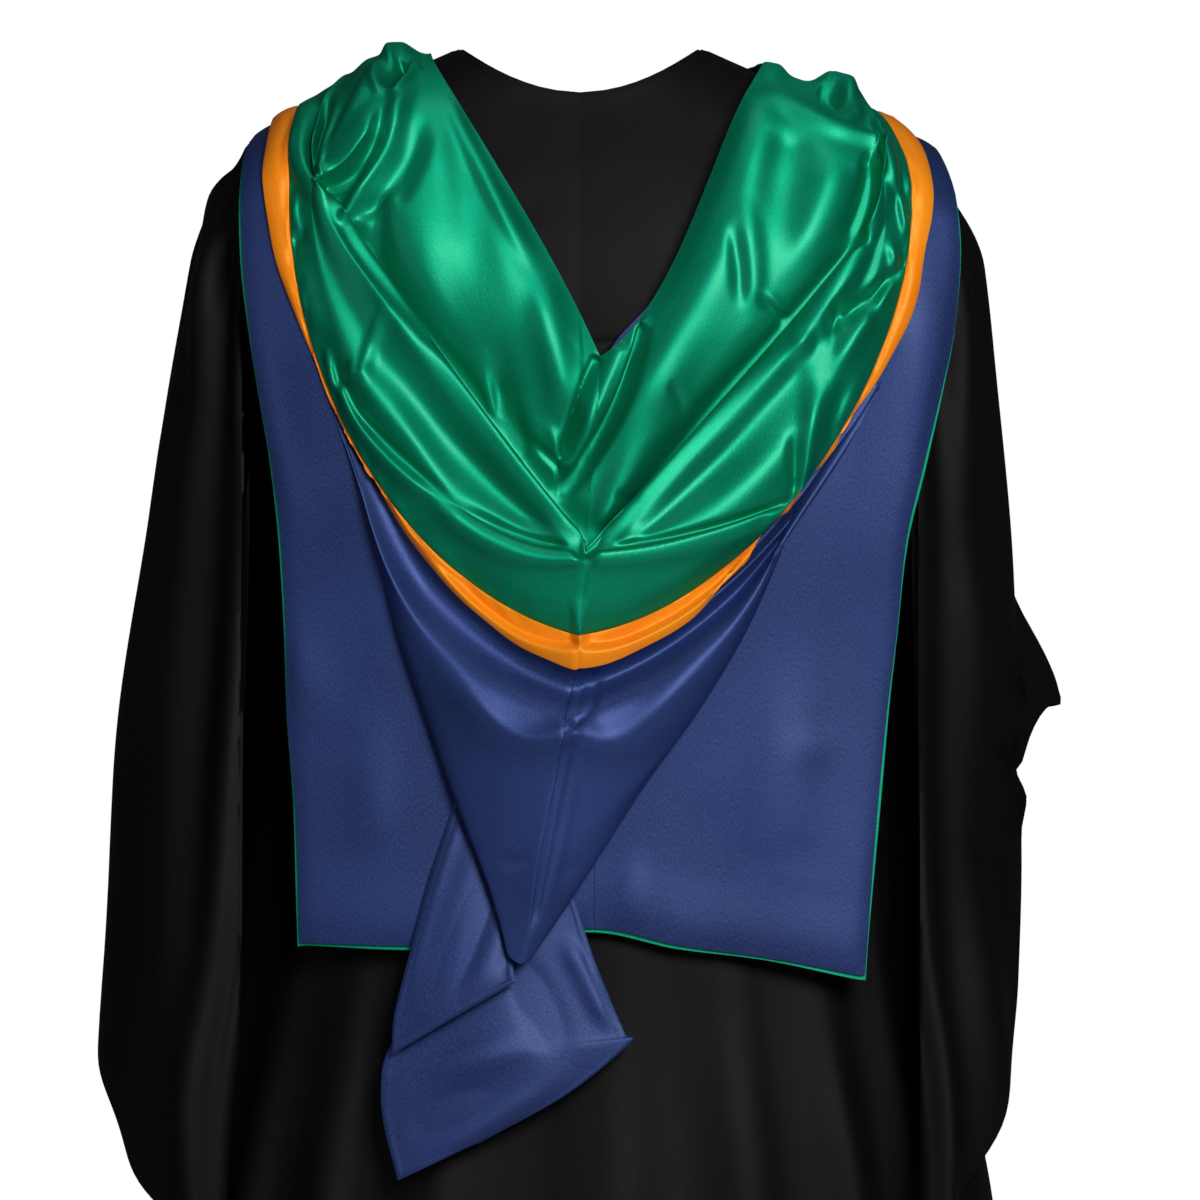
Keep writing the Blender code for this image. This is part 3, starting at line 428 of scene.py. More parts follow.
# Folds of the navy shell below the edging.
SHELL_CREASES = (
    # The swags that hang from both sides and meet at the centre seam.
    (-4, -445, -54, -451, -104, -376, 10, 13, 15, 5.5, 0.02, 0.4, 0.8),
    (-4, -447, 44, -451, 108, -364, 10, 13, 15, 5.5, 0.02, 0.4, 1.2),
    # The pleat that hooks round the seam below the edging.
    (10, -404, 8, -432, -5, -448, 3, 3.2, 3, -2.4, 0.1, 0.08, 0.9),
    # The groove of the centre seam with a light ridge beside it, and faint wrinkles.
    (6, -403, -16, -500, -33, -592, 3, 3, 3, -1.9, 0.04, 0.1),
    (-3, -460, -10, -515, -27, -590, 4.4, 4.4, 4, 1, 0.15, 0.2),
    (-30, -538, -46, -542, -60, -537, 4, 4.4, 4, -0.8, 0.35, 0.5),
    (-18, -550, -6, -546, 6, -539, 4, 4.4, 4, -0.8, 0.35, 0.5),
)
# Soft swells and hollows of the tail's folded panels.
TAIL_CREASES = (
    (-82, -500, -106, -560, -126, -640, 8, 10, 9, 3, 0.3, 0.3),
    (-58, -520, -78, -590, -110, -656, 8, 12, 12, -2.4, 0.4, 0.4),
    (-52, -560, -60, -600, -84, -640, 7, 9, 8, 2, 0.4, 0.4),
    (-118, -690, -70, -676, -8, -650, 11, 13, 12, 2.8, 0.5, 0.5),
    (-128, -722, -90, -716, -30, -688, 12, 14, 13, -2.4, 0.5, 0.5),
    (-104, -742, -60, -722, 0, -682, 8, 9, 8, 1.8, 0.4, 0.4),
    (-14, -590, 6, -625, 26, -662, 6, 8, 8, 2.4, 0.3, 0.3),
    (-52, -600, -30, -640, -8, -690, 10, 13, 12, -2.6, 0.4, 0.4),
)
# Long, shallow swells of the cape's panels, the left one first.
CAPE_CREASES = (
    (-196, -540, -160, -536, -100, -541, 6, 6, 6, -0.9, 0.4, 0.5),
    (-198, -470, -170, -474, -120, -466, 9, 10, 9, 1.1, 0.5, 0.6),
    (-206, -370, -182, -420, -146, -490, 20, 24, 20, 3.4, 0.5, 0.5),
    (-230, -150, -216, -240, -192, -340, 12, 15, 15, 3, 0.5, 0.5),
    (-178, -300, -170, -400, -182, -560, 16, 20, 16, -3, 0.5, 0.5),
    (-212, -120, -208, -220, -204, -300, 10, 14, 12, -2.6, 0.5, 0.5),
    (-140, -430, -146, -500, -150, -560, 16, 18, 16, 2.6, 0.5, 0.5),
    (250, -100, 240, -190, 214, -300, 12, 16, 16, 3.2, 0.5, 0.5),
    (226, -150, 212, -240, 204, -330, 12, 15, 14, -3, 0.5, 0.5),
    (198, -300, 192, -420, 190, -600, 18, 22, 20, -3.2, 0.5, 0.5),
    (152, -380, 140, -490, 132, -600, 20, 26, 22, 3.6, 0.5, 0.5),
    (90, -480, 84, -540, 76, -600, 16, 18, 16, -2.8, 0.5, 0.4),
    (40, -530, 36, -560, 30, -600, 11, 12, 11, 2, 0.5, 0.3),
    (8, -566, 12, -576, 22, -580, 4, 5, 5, -1.8, 0.3, 0.5),
    (196, -545, 150, -538, 70, -548, 6, 6, 6, -0.9, 0.5, 0.5),
    (204, -470, 170, -462, 120, -474, 10, 10, 10, 1.1, 0.5, 0.5),
)
# The sleeves' pleats, which run down from the head, the left sleeve's first.
SLEEVE_CREASES = (
    (-243, -48, -262, -130, -270, -300, 5, 8, 11, 6, 0.12, 0.5),
    (-268, -210, -280, -320, -288, -480, 10, 14, 16, 7, 0.4, 0.5),
    (-242, -80, -252, -180, -258, -360, 7, 10, 14, -7, 0.2, 0.6),
    (-258, -280, -266, -420, -262, -640, 14, 18, 18, -8, 0.5, 0.5),
    (-292, -300, -306, -440, -318, -660, 11, 14, 16, 6, 0.5, 0.5),
    (-262, -70, -282, -140, -292, -260, 6, 9, 12, -5, 0.3, 0.5),
    (-302, -420, -312, -560, -306, -780, 12, 16, 16, -6, 0.5, 0.4),
    (-274, -480, -280, -640, -272, -820, 12, 16, 18, 7, 0.5, 0.3),
    (-318, -690, -322, -676, -327, -664, 5, 5, 5, -3.5, 0.3, 0.3),
    (246, -76, 266, -170, 278, -310, 6, 9, 12, 6, 0.2, 0.5),
    (240, -110, 252, -220, 258, -380, 7, 11, 14, -7, 0.2, 0.6),
    (270, -300, 282, -400, 294, -520, 12, 15, 15, 7, 0.4, 0.5),
    (256, -360, 262, -480, 266, -660, 14, 18, 18, -8, 0.5, 0.5),
    (282, -376, 302, -424, 328, -440, 9, 11, 12, 6, 0.4, 0.2),
    (288, -446, 304, -470, 320, -478, 8, 9, 9, -6, 0.4, 0.2),
    (290, -500, 306, -500, 318, -486, 8, 9, 9, 5, 0.4, 0.2),
    (274, -520, 278, -650, 270, -820, 12, 16, 18, 7, 0.5, 0.3),
)
# How much of the edging shows beyond the lining, by the height of the seam in millimetres.
EDGE_SHOWN = (
    # height, left, right
    (-420, 1.0, 1.0),
    (-350, 1.0, 0.95),
    (-330, 1.0, 0.60),
    (-305, 0.95, 0.12),
    (-280, 0.70, 0.05),
    (-250, 0.45, 0.06),
    (-235, 0.40, 0.28),
    (-205, 0.42, 0.62),
    (-180, 0.60, 0.85),
    (-150, 0.85, 1.05),
    (-110, 1.05, 0.90),
    (-60, 1.15, 1.10),
    (40, 1.10, 1.10),
)


def smooth(at, knots, values):
    """A cubic curve through the values that never overshoots them."""
    at = np.asarray(at, float)
    x = np.asarray(knots, float)
    y = np.asarray(values, float)
    step = np.diff(x)
    rise = np.diff(y) / step
    slope = np.zeros(len(x))
    same_way = rise[:-1] * rise[1:] > 0
    mean = 2 * rise[:-1] * rise[1:] / np.where(same_way, rise[:-1] + rise[1:], 1)
    slope[1:-1] = np.where(same_way, mean, 0)
    slope[0] = rise[0]
    slope[-1] = rise[-1]
    inside = np.clip(at, x[0], x[-1])
    i = np.clip(np.searchsorted(x, inside) - 1, 0, len(x) - 2)
    t = (inside - x[i]) / step[i]
    low = y[i] * (1 + 2 * t) * (1 - t) ** 2 + slope[i] * step[i] * t * (1 - t) ** 2
    high = y[i + 1] * t * t * (3 - 2 * t) - slope[i + 1] * step[i] * t * t * (1 - t)
    return low + high


def column(table, index):
    return np.array([row[index] for row in table], float) * MM


def lookup(table, drop, index):
    return smooth(drop, column(table, 0), column(table, index))


def ease(t):
    t = np.clip(t, 0, 1)
    return t * t * (3 - 2 * t)


def crest(x):
    """Height of the shoulder line, which runs on up past the neck's edge."""
    return NECK_RISE - (np.abs(x) - NECK_HALF) * SHOULDER_SLOPE


def fall(w):
    """How far the cloth has dropped, w along it from the crest, and how far back it has gone."""
    quarter = SHOULDER_ARCH * math.pi / 2
    angle = np.clip(np.abs(w) / quarter, 0, 1) * math.pi / 2
    drop = SHOULDER_ARCH * (1 - np.cos(angle)) + np.maximum(np.abs(w) - quarter, 0)
    return drop, np.sin(angle)


def along(drop):
    """The distance along the cloth from the crest to a point that lies `drop` below it."""
    quarter = SHOULDER_ARCH * math.pi / 2
    drop = np.maximum(drop, 0)
    angle = np.arccos(1 - np.minimum(drop / SHOULDER_ARCH, 1))
    return np.where(drop < SHOULDER_ARCH, angle / (math.pi / 2) * quarter, drop - SHOULDER_ARCH + quarter)


def body_point(x, w):
    """A point on the gown: x across, w along from the crest, back positive, front negative."""
    drop, arch = fall(w)
    z = crest(x) - drop
    half = lookup(BODY, -z, 1)
    depth = np.where(w >= 0, lookup(BODY, -z, 2), lookup(BODY, -z, 3))
    spread = np.sqrt(np.maximum(1 - (np.abs(x) / half) ** BODY_ROUND, 0))
    return np.stack([x, -np.sign(w) * depth * spread * arch, z], -1)


def cape_point(x, w):
    """A point on the flat form outside the gown, which the hood lies on."""
    drop, arch = fall(w)
    z = crest(x) - drop
    back = lookup(BODY, -z, 2) + CAPE_CLEAR
    front = lookup(BODY, -z, 3) + CAPE_CLEAR / 2
    depth = np.where(w >= 0, back, front)
    spread = np.sqrt(1 - (np.abs(x) / CAPE_HALF) ** CAPE_ROUND)
    return np.stack([x, -np.sign(w) * depth * spread * arch, z + CAPE_RISE], -1)


def form_normals(form, x, w):
    """A form's own unit normals, which point away from the figure."""
    step = 1 * MM
    x, w = np.broadcast_arrays(np.asarray(x, float), np.asarray(w, float))
    over_x = form(x + step, w) - form(x - step, w)
    over_w = form(x, w + step) - form(x, w - step)
    normal = np.cross(over_w, over_x)
    return normal / np.linalg.norm(normal, axis=-1, keepdims=True)


def lifted(form, x, w, lift):
    """A point that stands off a form by lift, along the form's own normal."""
    x, w, lift = np.broadcast_arrays(np.asarray(x, float), np.asarray(w, float), np.asarray(lift, float))
    return form(x, w) + form_normals(form, x, w) * lift[..., None]


def bezier(row, s):
    """Points along one row's curve, as x and z."""
    p = np.array(row[:8], float).reshape(4, 2) * MM
    s = np.asarray(s, float)[:, None]
    return p[0] * (1 - s) ** 3 + 3 * p[1] * s * (1 - s) ** 2 + 3 * p[2] * s * s * (1 - s) + p[3] * s ** 3


def grid_normals(points, closed=False):
    """Unit normals of a grid of points; closed joins its last column to its first."""
    if closed:
        across = np.roll(points, -1, 1) - np.roll(points, 1, 1)
    else:
        across = np.gradient(points, axis=1)
    down = np.gradient(points, axis=0)
    normal = np.cross(across, down)
    return normal / np.maximum(np.linalg.norm(normal, axis=-1, keepdims=True), 1e-12)


def narrowed(points, first, last, axis):
    """The grid with its first or last line moved half a seam's gap into the piece."""
    points = np.moveaxis(points.copy(), axis, 0)
    for edge, inner, wanted in ((0, 1, first), (-1, -2, last)):
        if wanted:
            step = points[inner] - points[edge]
            length = np.maximum(np.linalg.norm(step, axis=-1, keepdims=True), 1e-9)
            points[edge] += step / length * SEAM / 2
    return np.moveaxis(points, 0, axis)


def neck_drop(x):
    """How far the gown's neckline lies below the crest line at x."""
    height = NECK_RISE * (np.minimum(np.abs(x), NECK_HALF) / NECK_HALF) ** 2
    return np.maximum(crest(x) - height, 0)


def across_body(fraction):
    """Spaces columns so that they crowd toward the side seam, as the body turns there."""
    return np.sign(fraction) * np.sin(np.abs(fraction) * math.pi / 2) ** (2 / BODY_ROUND)


def side_edge(drop):
    """The gown's outer edge: the armhole's plane, then the side seam."""
    return np.where(drop < ARMPIT_DROP, ARMHOLE_X, lookup(BODY, drop, 1))


def body_level(x, z):
    """The distance along the gown at a height, for the back."""
    return along(crest(x) - z)


def fold_height(table, across, fraction):
    """The sum of the folds at a place across the piece; fraction runs 0 to 1 down to the hem."""
    total = np.zeros(np.broadcast(across, fraction).shape)
    for top_at, hem_at, width, top, hem in table:
        centre = top_at + (hem_at - top_at) * fraction
        size = (top + (hem - top) * fraction ** 1.6) * MM
        total = total + size * np.exp(-((across - centre) / width) ** 2)
    return total


def row_curves(table, s, lift_columns):
    """Each row's curve as x, z and lift at the shares s along it."""
    x = []
    z = []
    lift = []
    stations = np.linspace(0, 1, lift_columns)
    for row in table:
        curve = bezier(row, s)
        x.append(curve[:, 0])
        z.append(curve[:, 1])
        lift.append(smooth(s, stations, np.array(row[8:8 + lift_columns]) * MM))
    return np.array(x), np.array(z), np.array(lift)


def between_rows(values, t):
    """Catmull-Rom between key rows, so that the cloth runs smoothly through them."""
    last = len(values) - 1
    i = np.clip(np.floor(t).astype(int), 0, last - 1)
    f = (t - i)[:, None]
    before = values[np.maximum(i - 1, 0)]
    here = values[i]
    after = values[i + 1]
    beyond = values[np.minimum(i + 2, last)]
    bend = 2 * before - 5 * here + 4 * after - beyond
    twist = 3 * here - before - 3 * after + beyond
    return 0.5 * (2 * here + (after - before) * f + bend * f ** 2 + twist * f ** 3)


def cowl_grid(columns, t, table):
    """One half of the cowl from the crest to the centre seam, at the row numbers t."""
    s = np.linspace(0, 1, columns)
    x, z, lift = row_curves(table, s, 4)
    x, z, lift = (between_rows(values, t) for values in (x, z, lift))
    return x, along(crest(x) + CAPE_RISE - z), lift


def strap(length, share):
    """Places on the front strap, x and w: a row for each share across it, a column for each length."""
    inner = bezier(STRAP_INNER, np.atleast_1d(length))
    outer = bezier(STRAP_OUTER, np.atleast_1d(length))
    x = inner[None, :, 0] + (outer - inner)[None, :, 0] * share
    w = inner[None, :, 1] + (outer - inner)[None, :, 1] * share
    return x, w


def shell_half(table, cowl_table, columns, t):
    """Half of the navy shell: its first rows hide below the edging, the rest follow the table."""
    s = np.linspace(0, 1, columns)
    under = np.linspace(SHELL_START, 1, columns)
    hidden = [values[-3:] for values in row_curves(cowl_table, under, 4)]
    hidden[2] = hidden[2] - SHELL_UNDER
    x, z, _ = row_curves(table, s, 3)
    rise = np.sin(s * math.pi / 2) ** 0.6
    edge, middle, seam = (column(table, index)[:, None] for index in (8, 9, 10))
    lift = edge + (middle - edge) * rise + (seam - middle) * s ** 2
    return [between_rows(np.concatenate(pair), t) for pair in zip(hidden, (x, z, lift))]


def tail_grid(table, columns, t):
    """One of the tail's panels at the row numbers t."""
    s = np.linspace(0, 1, columns)
    x = []
    z = []
    lift = []
    for row in table:
        left_x, left_z, right_x, right_z, lift_left, lift_mid, lift_right = row
        x.append((left_x + (right_x - left_x) * s) * MM)
        z.append((left_z + (right_z - left_z) * s) * MM)
        lift.append(smooth(s, [0, 0.5, 1], np.array([lift_left, lift_mid, lift_right]) * MM))
    x, z, lift = (between_rows(np.array(values), t) for values in (x, z, lift))
    return lifted(cape_point, x, along(crest(x) + CAPE_RISE - z), lift)


def cape_grid(columns, rows):
    """The cape as one cloth, left to right, from just over the crest to its hem."""
    half = columns // 2
    hem_x = column(CAPE_HEM, 0)
    hem_drop = column(CAPE_HEM, 1)
    start = np.array([-CAPE_FRONT, -CAPE_FRONT / 2])
    lines = []
    for sign, index in ((-1, 1), (1, 2)):
        share = np.linspace(0, 1, half + 1)[:, None]
        rest = np.linspace(0, 1, rows - 2)[None, :] ** 1.5
        x = np.full((half + 1, rows), 0.18)
        for _ in range(6):
            length = along(crest(x) + smooth(sign * x, hem_x, hem_drop))
            w = np.concatenate([np.broadcast_to(start, (half + 1, 2)), length[:, 2:] * rest], 1)
            drop = fall(w)[0] - crest(x)
            outer = lookup(CAPE_OUTER_EDGE, drop, index)
            outer = np.where(w < 0, CAPE_FRONT_EDGE + (outer - CAPE_FRONT_EDGE) * (1 + w / CAPE_FRONT), outer)
            neck = lookup(CAPE_NECK_EDGE, drop, index)
            x = outer + (neck - outer) * share
        lines.append((sign * x, w))
    return [np.concatenate([left, right[::-1]], 0).T for left, right in zip(*lines)]


def curve_points(row, count=28):
    """Points along a crease that starts, bends through its middle and ends as the row says."""
    start = np.array(row[0:2], float) * MM
    through = np.array(row[2:4], float) * MM
    end = np.array(row[4:6], float) * MM
    handle = 2 * through - (start + end) / 2
    f = np.linspace(0, 1, count)[:, None]
    return start * (1 - f) ** 2 + 2 * handle * f * (1 - f) + end * f * f


def blurred(grid):
    """A grid of numbers with each one eased towards its neighbours."""
    for axis in (0, 1):
        first = np.take(grid, [0], axis)
        last = np.take(grid, [-1], axis)
        wide = np.concatenate([first, grid, last], axis)
        steps = np.arange(grid.shape[axis])
        grid = (np.take(wide, steps, axis) + 2 * grid + np.take(wide, steps + 2, axis)) / 4
    return grid


def crease_height(table, x, z):
    """The sum of the creases at each point, seen from behind: ridges up, troughs down."""
    return crease_fields(table, x, z)[0]


def crease_fields(table, x, z):
    """The creases' heights, and the same bells turned into moves to the right of their ways."""
    total = np.zeros(x.shape)
    move_x = np.zeros(x.shape)
    move_z = np.zeros(x.shape)
    at = np.stack([x, z], -1)
    for row in table:
        line = curve_points(row)
        widths = np.array(row[6:9]) * MM
        fade_start, fade_end = row[10:12]
        lean = row[12] if len(row) > 12 else 1
        reach = 2.5 * widths.max() * max(lean, 1)
        low = line.min(0) - reach
        high = line.max(0) + reach
        close = np.all((at > low) & (at < high), -1)
        p = at[close][:, None, :]
        a = line[:-1][None]
        step = np.diff(line, axis=0)[None]
        f = np.clip(((p - a) * step).sum(-1) / (step ** 2).sum(-1), 0, 1)
        side = p - a - step * f[..., None]
        gap = np.linalg.norm(side, axis=-1)
        best = gap.argmin(1)
        pick = np.arange(len(best))
        place = (best + f[pick, best]) / (len(line) - 1)
        turn = step[0, best, 0] * side[pick, best, 1] - step[0, best, 1] * side[pick, best, 0]
        width = np.interp(place, (0, 0.5, 1), widths)
        width = np.maximum(width * np.where(turn < 0, lean, 1), FINEST)
        away = gap[pick, best] / width
        fade = ease(place / fade_start) * ease((1 - place) / fade_end)
        size = row[9] * MM * fade * np.exp(-away ** 2.3)
        way = step[0, best] / np.linalg.norm(step[0, best], axis=-1, keepdims=True)
        total[close] += size
        move_x[close] += size * way[:, 1]
        move_z[close] -= size * way[:, 0]
    return total, move_x, move_z


def soft_noise(a, b, seed, scale):
    """Smooth unevenness from a few sine waves with fixed, seeded directions."""
    rng = np.random.default_rng(seed)
    total = 0
    for _ in range(7):
        turn = rng.uniform(0, 2 * math.pi)
        size = rng.uniform(0.6, 1.8) / scale
        shift = rng.uniform(0, 2 * math.pi)
        total = total + np.sin((a * math.cos(turn) + b * math.sin(turn)) * size * 2 * math.pi + shift)
    return total / 7


def cloth_mesh(name, points, normals, thickness, material, closed=False):
    """A thin closed cloth shell with a UV map in metres along the cloth."""
    rows, columns = points.shape[:2]
    inner = points - normals * thickness
    verts = np.concatenate([points.reshape(-1, 3), inner.reshape(-1, 3)])
    index = np.arange(rows * columns).reshape(rows, columns)
    back = index + rows * columns
    if closed:
        right = np.roll(index, -1, 1)
        right_back = np.roll(back, -1, 1)
        here, here_back = index, back
    else:
        right, here = index[:, 1:], index[:, :-1]
        right_back, here_back = back[:, 1:], back[:, :-1]
    faces = [
        np.stack([here[:-1], right[:-1], right[1:], here[1:]], -1).reshape(-1, 4),
        np.stack([here_back[:-1], here_back[1:], right_back[1:], right_back[:-1]], -1).reshape(-1, 4),
        np.stack([right[0], here[0], here_back[0], right_back[0]], -1),
        np.stack([here[-1], right[-1], right_back[-1], here_back[-1]], -1),
    ]
    if not closed:
        faces.append(np.stack([index[:-1, 0], index[1:, 0], back[1:, 0], back[:-1, 0]], -1))
        faces.append(np.stack([index[1:, -1], index[:-1, -1], back[:-1, -1], back[1:, -1]], -1))
    faces = np.concatenate(faces)
    a, b, c, d = (verts[faces[:, i]] for i in range(4))
    volume = np.einsum("ij,ij->", a, np.cross(b - a, c - a) + np.cross(c - a, d - a))
    if volume < 0:
        faces = faces[:, ::-1]
    mesh = bpy.data.meshes.new(name)
    mesh.vertices.add(len(verts))
    mesh.vertices.foreach_set("co", verts.ravel())
    mesh.loops.add(faces.size)
    mesh.loops.foreach_set("vertex_index", faces.ravel())
    mesh.polygons.add(len(faces))
    mesh.polygons.foreach_set("loop_start", np.arange(0, faces.size, 4))
    mesh.polygons.foreach_set("loop_total", np.full(len(faces), 4))
    mesh.update(calc_edges=True)
    across = np.linalg.norm(np.diff(points, axis=1), axis=-1).mean(0)
    down = np.linalg.norm(np.diff(points, axis=0), axis=-1).mean(1)
    u = np.concatenate([[0], np.cumsum(across)])
    v = np.concatenate([[0], np.cumsum(down)])
    grid = np.stack(np.broadcast_arrays(u[None, :], v[:, None]), -1).reshape(-1, 2)
    uv = np.concatenate([grid, grid])[faces.ravel()]
    layer = mesh.uv_layers.new(name="cloth")
    layer.data.foreach_set("uv", uv.ravel())
    mesh.materials.append(material)
    mesh.shade_smooth()
    mesh.set_sharp_from_angle(angle=math.radians(62))
    made = bpy.data.objects.new(name, mesh)
    bpy.context.scene.collection.objects.link(made)
    return made


def node(tree, kind, **settings):
    made = tree.nodes.new(kind)
    for key, value in settings.items():
        setattr(made, key, value)
    return made


def put(target, **values):
    """Sets sockets by name; an underscore stands for a space."""
    for key, value in values.items():
        target.inputs[key.replace("_", " ")].default_value = value


def fabric(name, base, deep, pale, roughness, specular, grain, thread=900, coat=0, metal=0,
           stretch=0, tint=(1, 1, 1, 1)):
    """A woven cloth: base colour with soft unevenness, fine grain, threads and a sheen.

    Deep and pale are the colours of its clouding and its grain, metal and tint give satin its
    coloured shine, and stretch draws the highlights out along the threads.
    """
    material = bpy.data.materials.new(name)
    material.use_nodes = True
    tree = material.node_tree
    link = tree.links.new
    shader = tree.nodes["Principled BSDF"]
    place = node(tree, "ShaderNodeUVMap", uv_map="cloth")
    solid = node(tree, "ShaderNodeTexCoord")

    cloud = node(tree, "ShaderNodeTexNoise")
    put(cloud, Scale=9.0, Detail=3.0, Roughness=0.5)
    link(solid.outputs["Object"], cloud.inputs["Vector"])
    grit_space = node(tree, "ShaderNodeMapping")
    put(grit_space, Scale=(1.0, 0.45, 1.0))
    link(place.outputs["UV"], grit_space.inputs["Vector"])
    grit = node(tree, "ShaderNodeTexNoise")
    put(grit, Scale=900.0, Detail=2.0, Roughness=0.6)
    link(grit_space.outputs["Vector"], grit.inputs["Vector"])

    spread = node(tree, "ShaderNodeMapRange")
    put(spread, From_Min=0.3, From_Max=0.7, To_Min=0.0, To_Max=1.0)
    link(cloud.outputs["Fac"], spread.inputs["Value"])
    tone = node(tree, "ShaderNodeMix", data_type="RGBA")
    tone.inputs[6].default_value = deep
    tone.inputs[7].default_value = base
    link(spread.outputs["Result"], tone.inputs[0])
    fleck = node(tree, "ShaderNodeMapRange")
    put(fleck, From_Min=0.35, From_Max=0.75, To_Min=0.0, To_Max=grain)
    link(grit.outputs["Fac"], fleck.inputs["Value"])
    mixed = node(tree, "ShaderNodeMix", data_type="RGBA")
    mixed.inputs[7].default_value = pale
    link(fleck.outputs["Result"], mixed.inputs[0])
    link(tone.outputs[2], mixed.inputs[6])
    link(mixed.outputs[2], shader.inputs["Base Color"])

    weft = node(tree, "ShaderNodeTexWave", wave_type="BANDS", bands_direction="X")
    put(weft, Scale=thread, Distortion=0.6, Detail=1.0)
    link(place.outputs["UV"], weft.inputs["Vector"])
    warp = node(tree, "ShaderNodeTexWave", wave_type="BANDS", bands_direction="Y")
    put(warp, Scale=thread * 0.7, Distortion=0.6, Detail=1.0)
    link(place.outputs["UV"], warp.inputs["Vector"])
    weave = node(tree, "ShaderNodeMath", operation="ADD")
    link(weft.outputs["Fac"], weave.inputs[0])
    link(warp.outputs["Fac"], weave.inputs[1])
    fine = node(tree, "ShaderNodeBump")
    put(fine, Strength=0.12, Distance=0.0002)
    link(weave.outputs["Value"], fine.inputs["Height"])
    rough_bump = node(tree, "ShaderNodeBump")
    put(rough_bump, Strength=0.30, Distance=0.0004)
    link(grit.outputs["Fac"], rough_bump.inputs["Height"])
    link(fine.outputs["Normal"], rough_bump.inputs["Normal"])
    link(rough_bump.outputs["Normal"], shader.inputs["Normal"])

    shine = node(tree, "ShaderNodeMapRange")
    put(shine, From_Min=0.3, From_Max=0.7, To_Min=roughness - 0.04, To_Max=roughness + 0.06)
    link(cloud.outputs["Fac"], shine.inputs["Value"])
    link(shine.outputs["Result"], shader.inputs["Roughness"])
    grain_way = node(tree, "ShaderNodeTangent", direction_type="UV_MAP", uv_map="cloth")
    link(grain_way.outputs["Tangent"], shader.inputs["Tangent"])
    put(shader, Metallic=metal, Specular_IOR_Level=specular, Specular_Tint=tint)
    put(shader, Anisotropic=stretch, Coat_Weight=coat, Coat_Roughness=0.30)
    return material


def make_looks():
    """Each cloth's material with the slot that it takes its finish from."""
    gown = fabric(
        "gown_cloth", (0.0022, 0.0021, 0.0026, 1), (0.0014, 0.0014, 0.0017, 1), (0.01, 0.01, 0.012, 1),
        roughness=0.56, specular=0.12, grain=0.30, thread=700,
    )
    navy = fabric(
        "navy_satin", (0.014, 0.032, 0.138, 1), (0.009, 0.020, 0.090, 1), (0.060, 0.100, 0.300, 1),
        roughness=0.46, specular=0.45, grain=0.35, coat=0.05, metal=0.35, stretch=0.35,
        tint=(0.5, 0.6, 1, 1),
    )
    # Painted light: the shell is the cape's navy satin made lighter, to make up for the shade on the shell's
    # downward slope. The cloth itself is the same navy.
    shell = fabric(
        "navy_shell_satin_painted_lighter", (0.021, 0.046, 0.190, 1), (0.013, 0.030, 0.130, 1), (0.075, 0.125, 0.350, 1),
        roughness=0.44, specular=0.50, grain=0.35, coat=0.05, metal=0.40, stretch=0.35,
        tint=(0.5, 0.6, 1, 1),
    )
    green = fabric(
        "green_satin", (0, 0.315, 0.170, 1), (0, 0.270, 0.135, 1), (0.04, 0.500, 0.330, 1),
        roughness=0.50, specular=0.40, grain=0.20, coat=0.12, metal=0.78, stretch=0.45,
        tint=(0.1, 0.7, 0.45, 1),
    )
    orange = fabric(
        "orange_satin", (1, 0.300, 0.008, 1), (1, 0.210, 0.004, 1), (1, 0.500, 0.030, 1),
        roughness=0.44, specular=0.50, grain=0.25, coat=0.05, metal=0.10, stretch=0.30,
        tint=(1, 0.7, 0.3, 1),
    )
    return (
        (gown, "black_cloth"), (navy, "navy_satin"), (shell, "navy_satin"),
        (green, "green_satin"), (orange, "orange_satin"),
    )


def hemmed(height, distance, width, step):
    """A turned hem: the cloth is a little thicker up to `width` from an edge, and rolls in at it."""
    band = 1 - ease((distance - width) / (1.2 * MM))
    return seamed(height + step * band, distance, 0.7 * MM, 0.9 * MM)


def seamed(height, distance, depth=0.8 * MM, reach=1.6 * MM):
    """The cloth turns in at a seam, an edge or a line of stitches."""
    return height - depth * np.exp(-(distance / reach) ** 2)


def soft_floor(height, lowest, bend=1.2 * MM):
    """Keeps a height above a floor, with a smooth bend instead of a corner."""
    over = height - lowest
    return lowest + (over + np.sqrt(over ** 2 + bend ** 2)) / 2


def edge_distance(points, axis, side):
    """The distance over the cloth from one edge of a grid, along its rows or columns."""
    step = np.linalg.norm(np.diff(points, axis=axis), axis=-1)
    start = np.zeros_like(np.take(step, [0], axis=axis))
    total = np.concatenate([start, np.cumsum(step, axis=axis)], axis=axis)
    if side == "last":
        total = np.take(total, [-1], axis=axis) - total
    return total


def outward(points, sign, closed=False):
    """Unit normals of a grid, all turned to the side on which most of them face `sign` along Y."""
    normals = grid_normals(points, closed)
    return normals if normals[..., 1].sum() * sign > 0 else -normals


def joined(left, right):
    """Both halves as one grid that meets at the centre: points, normals, distance from the seam."""
    centre = (left[:, -1:] + right[:, -1:]) / 2
    points = np.concatenate([left[:, :-1], centre, right[:, -2::-1]], 1)
    across = edge_distance(points, 1, "first")
    middle = points.shape[1] // 2
    return points, outward(points, -1), np.abs(across - across[:, middle:middle + 1])


def sides(columns):
    """The columns of the left and the right half of a grid; both have the middle one."""
    middle = columns // 2
    return ("left", slice(0, middle + 1)), ("right", slice(middle, None))


def finish_piece(name, points, normals, thickness, look, closed=False):
    """Makes the piece, which stands for its solid, and hides the solid."""
    material, slot = look
    piece = cloth_mesh(name + "_cloth", points, normals, thickness, material, closed)
    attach(piece, "root")
    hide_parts(name)


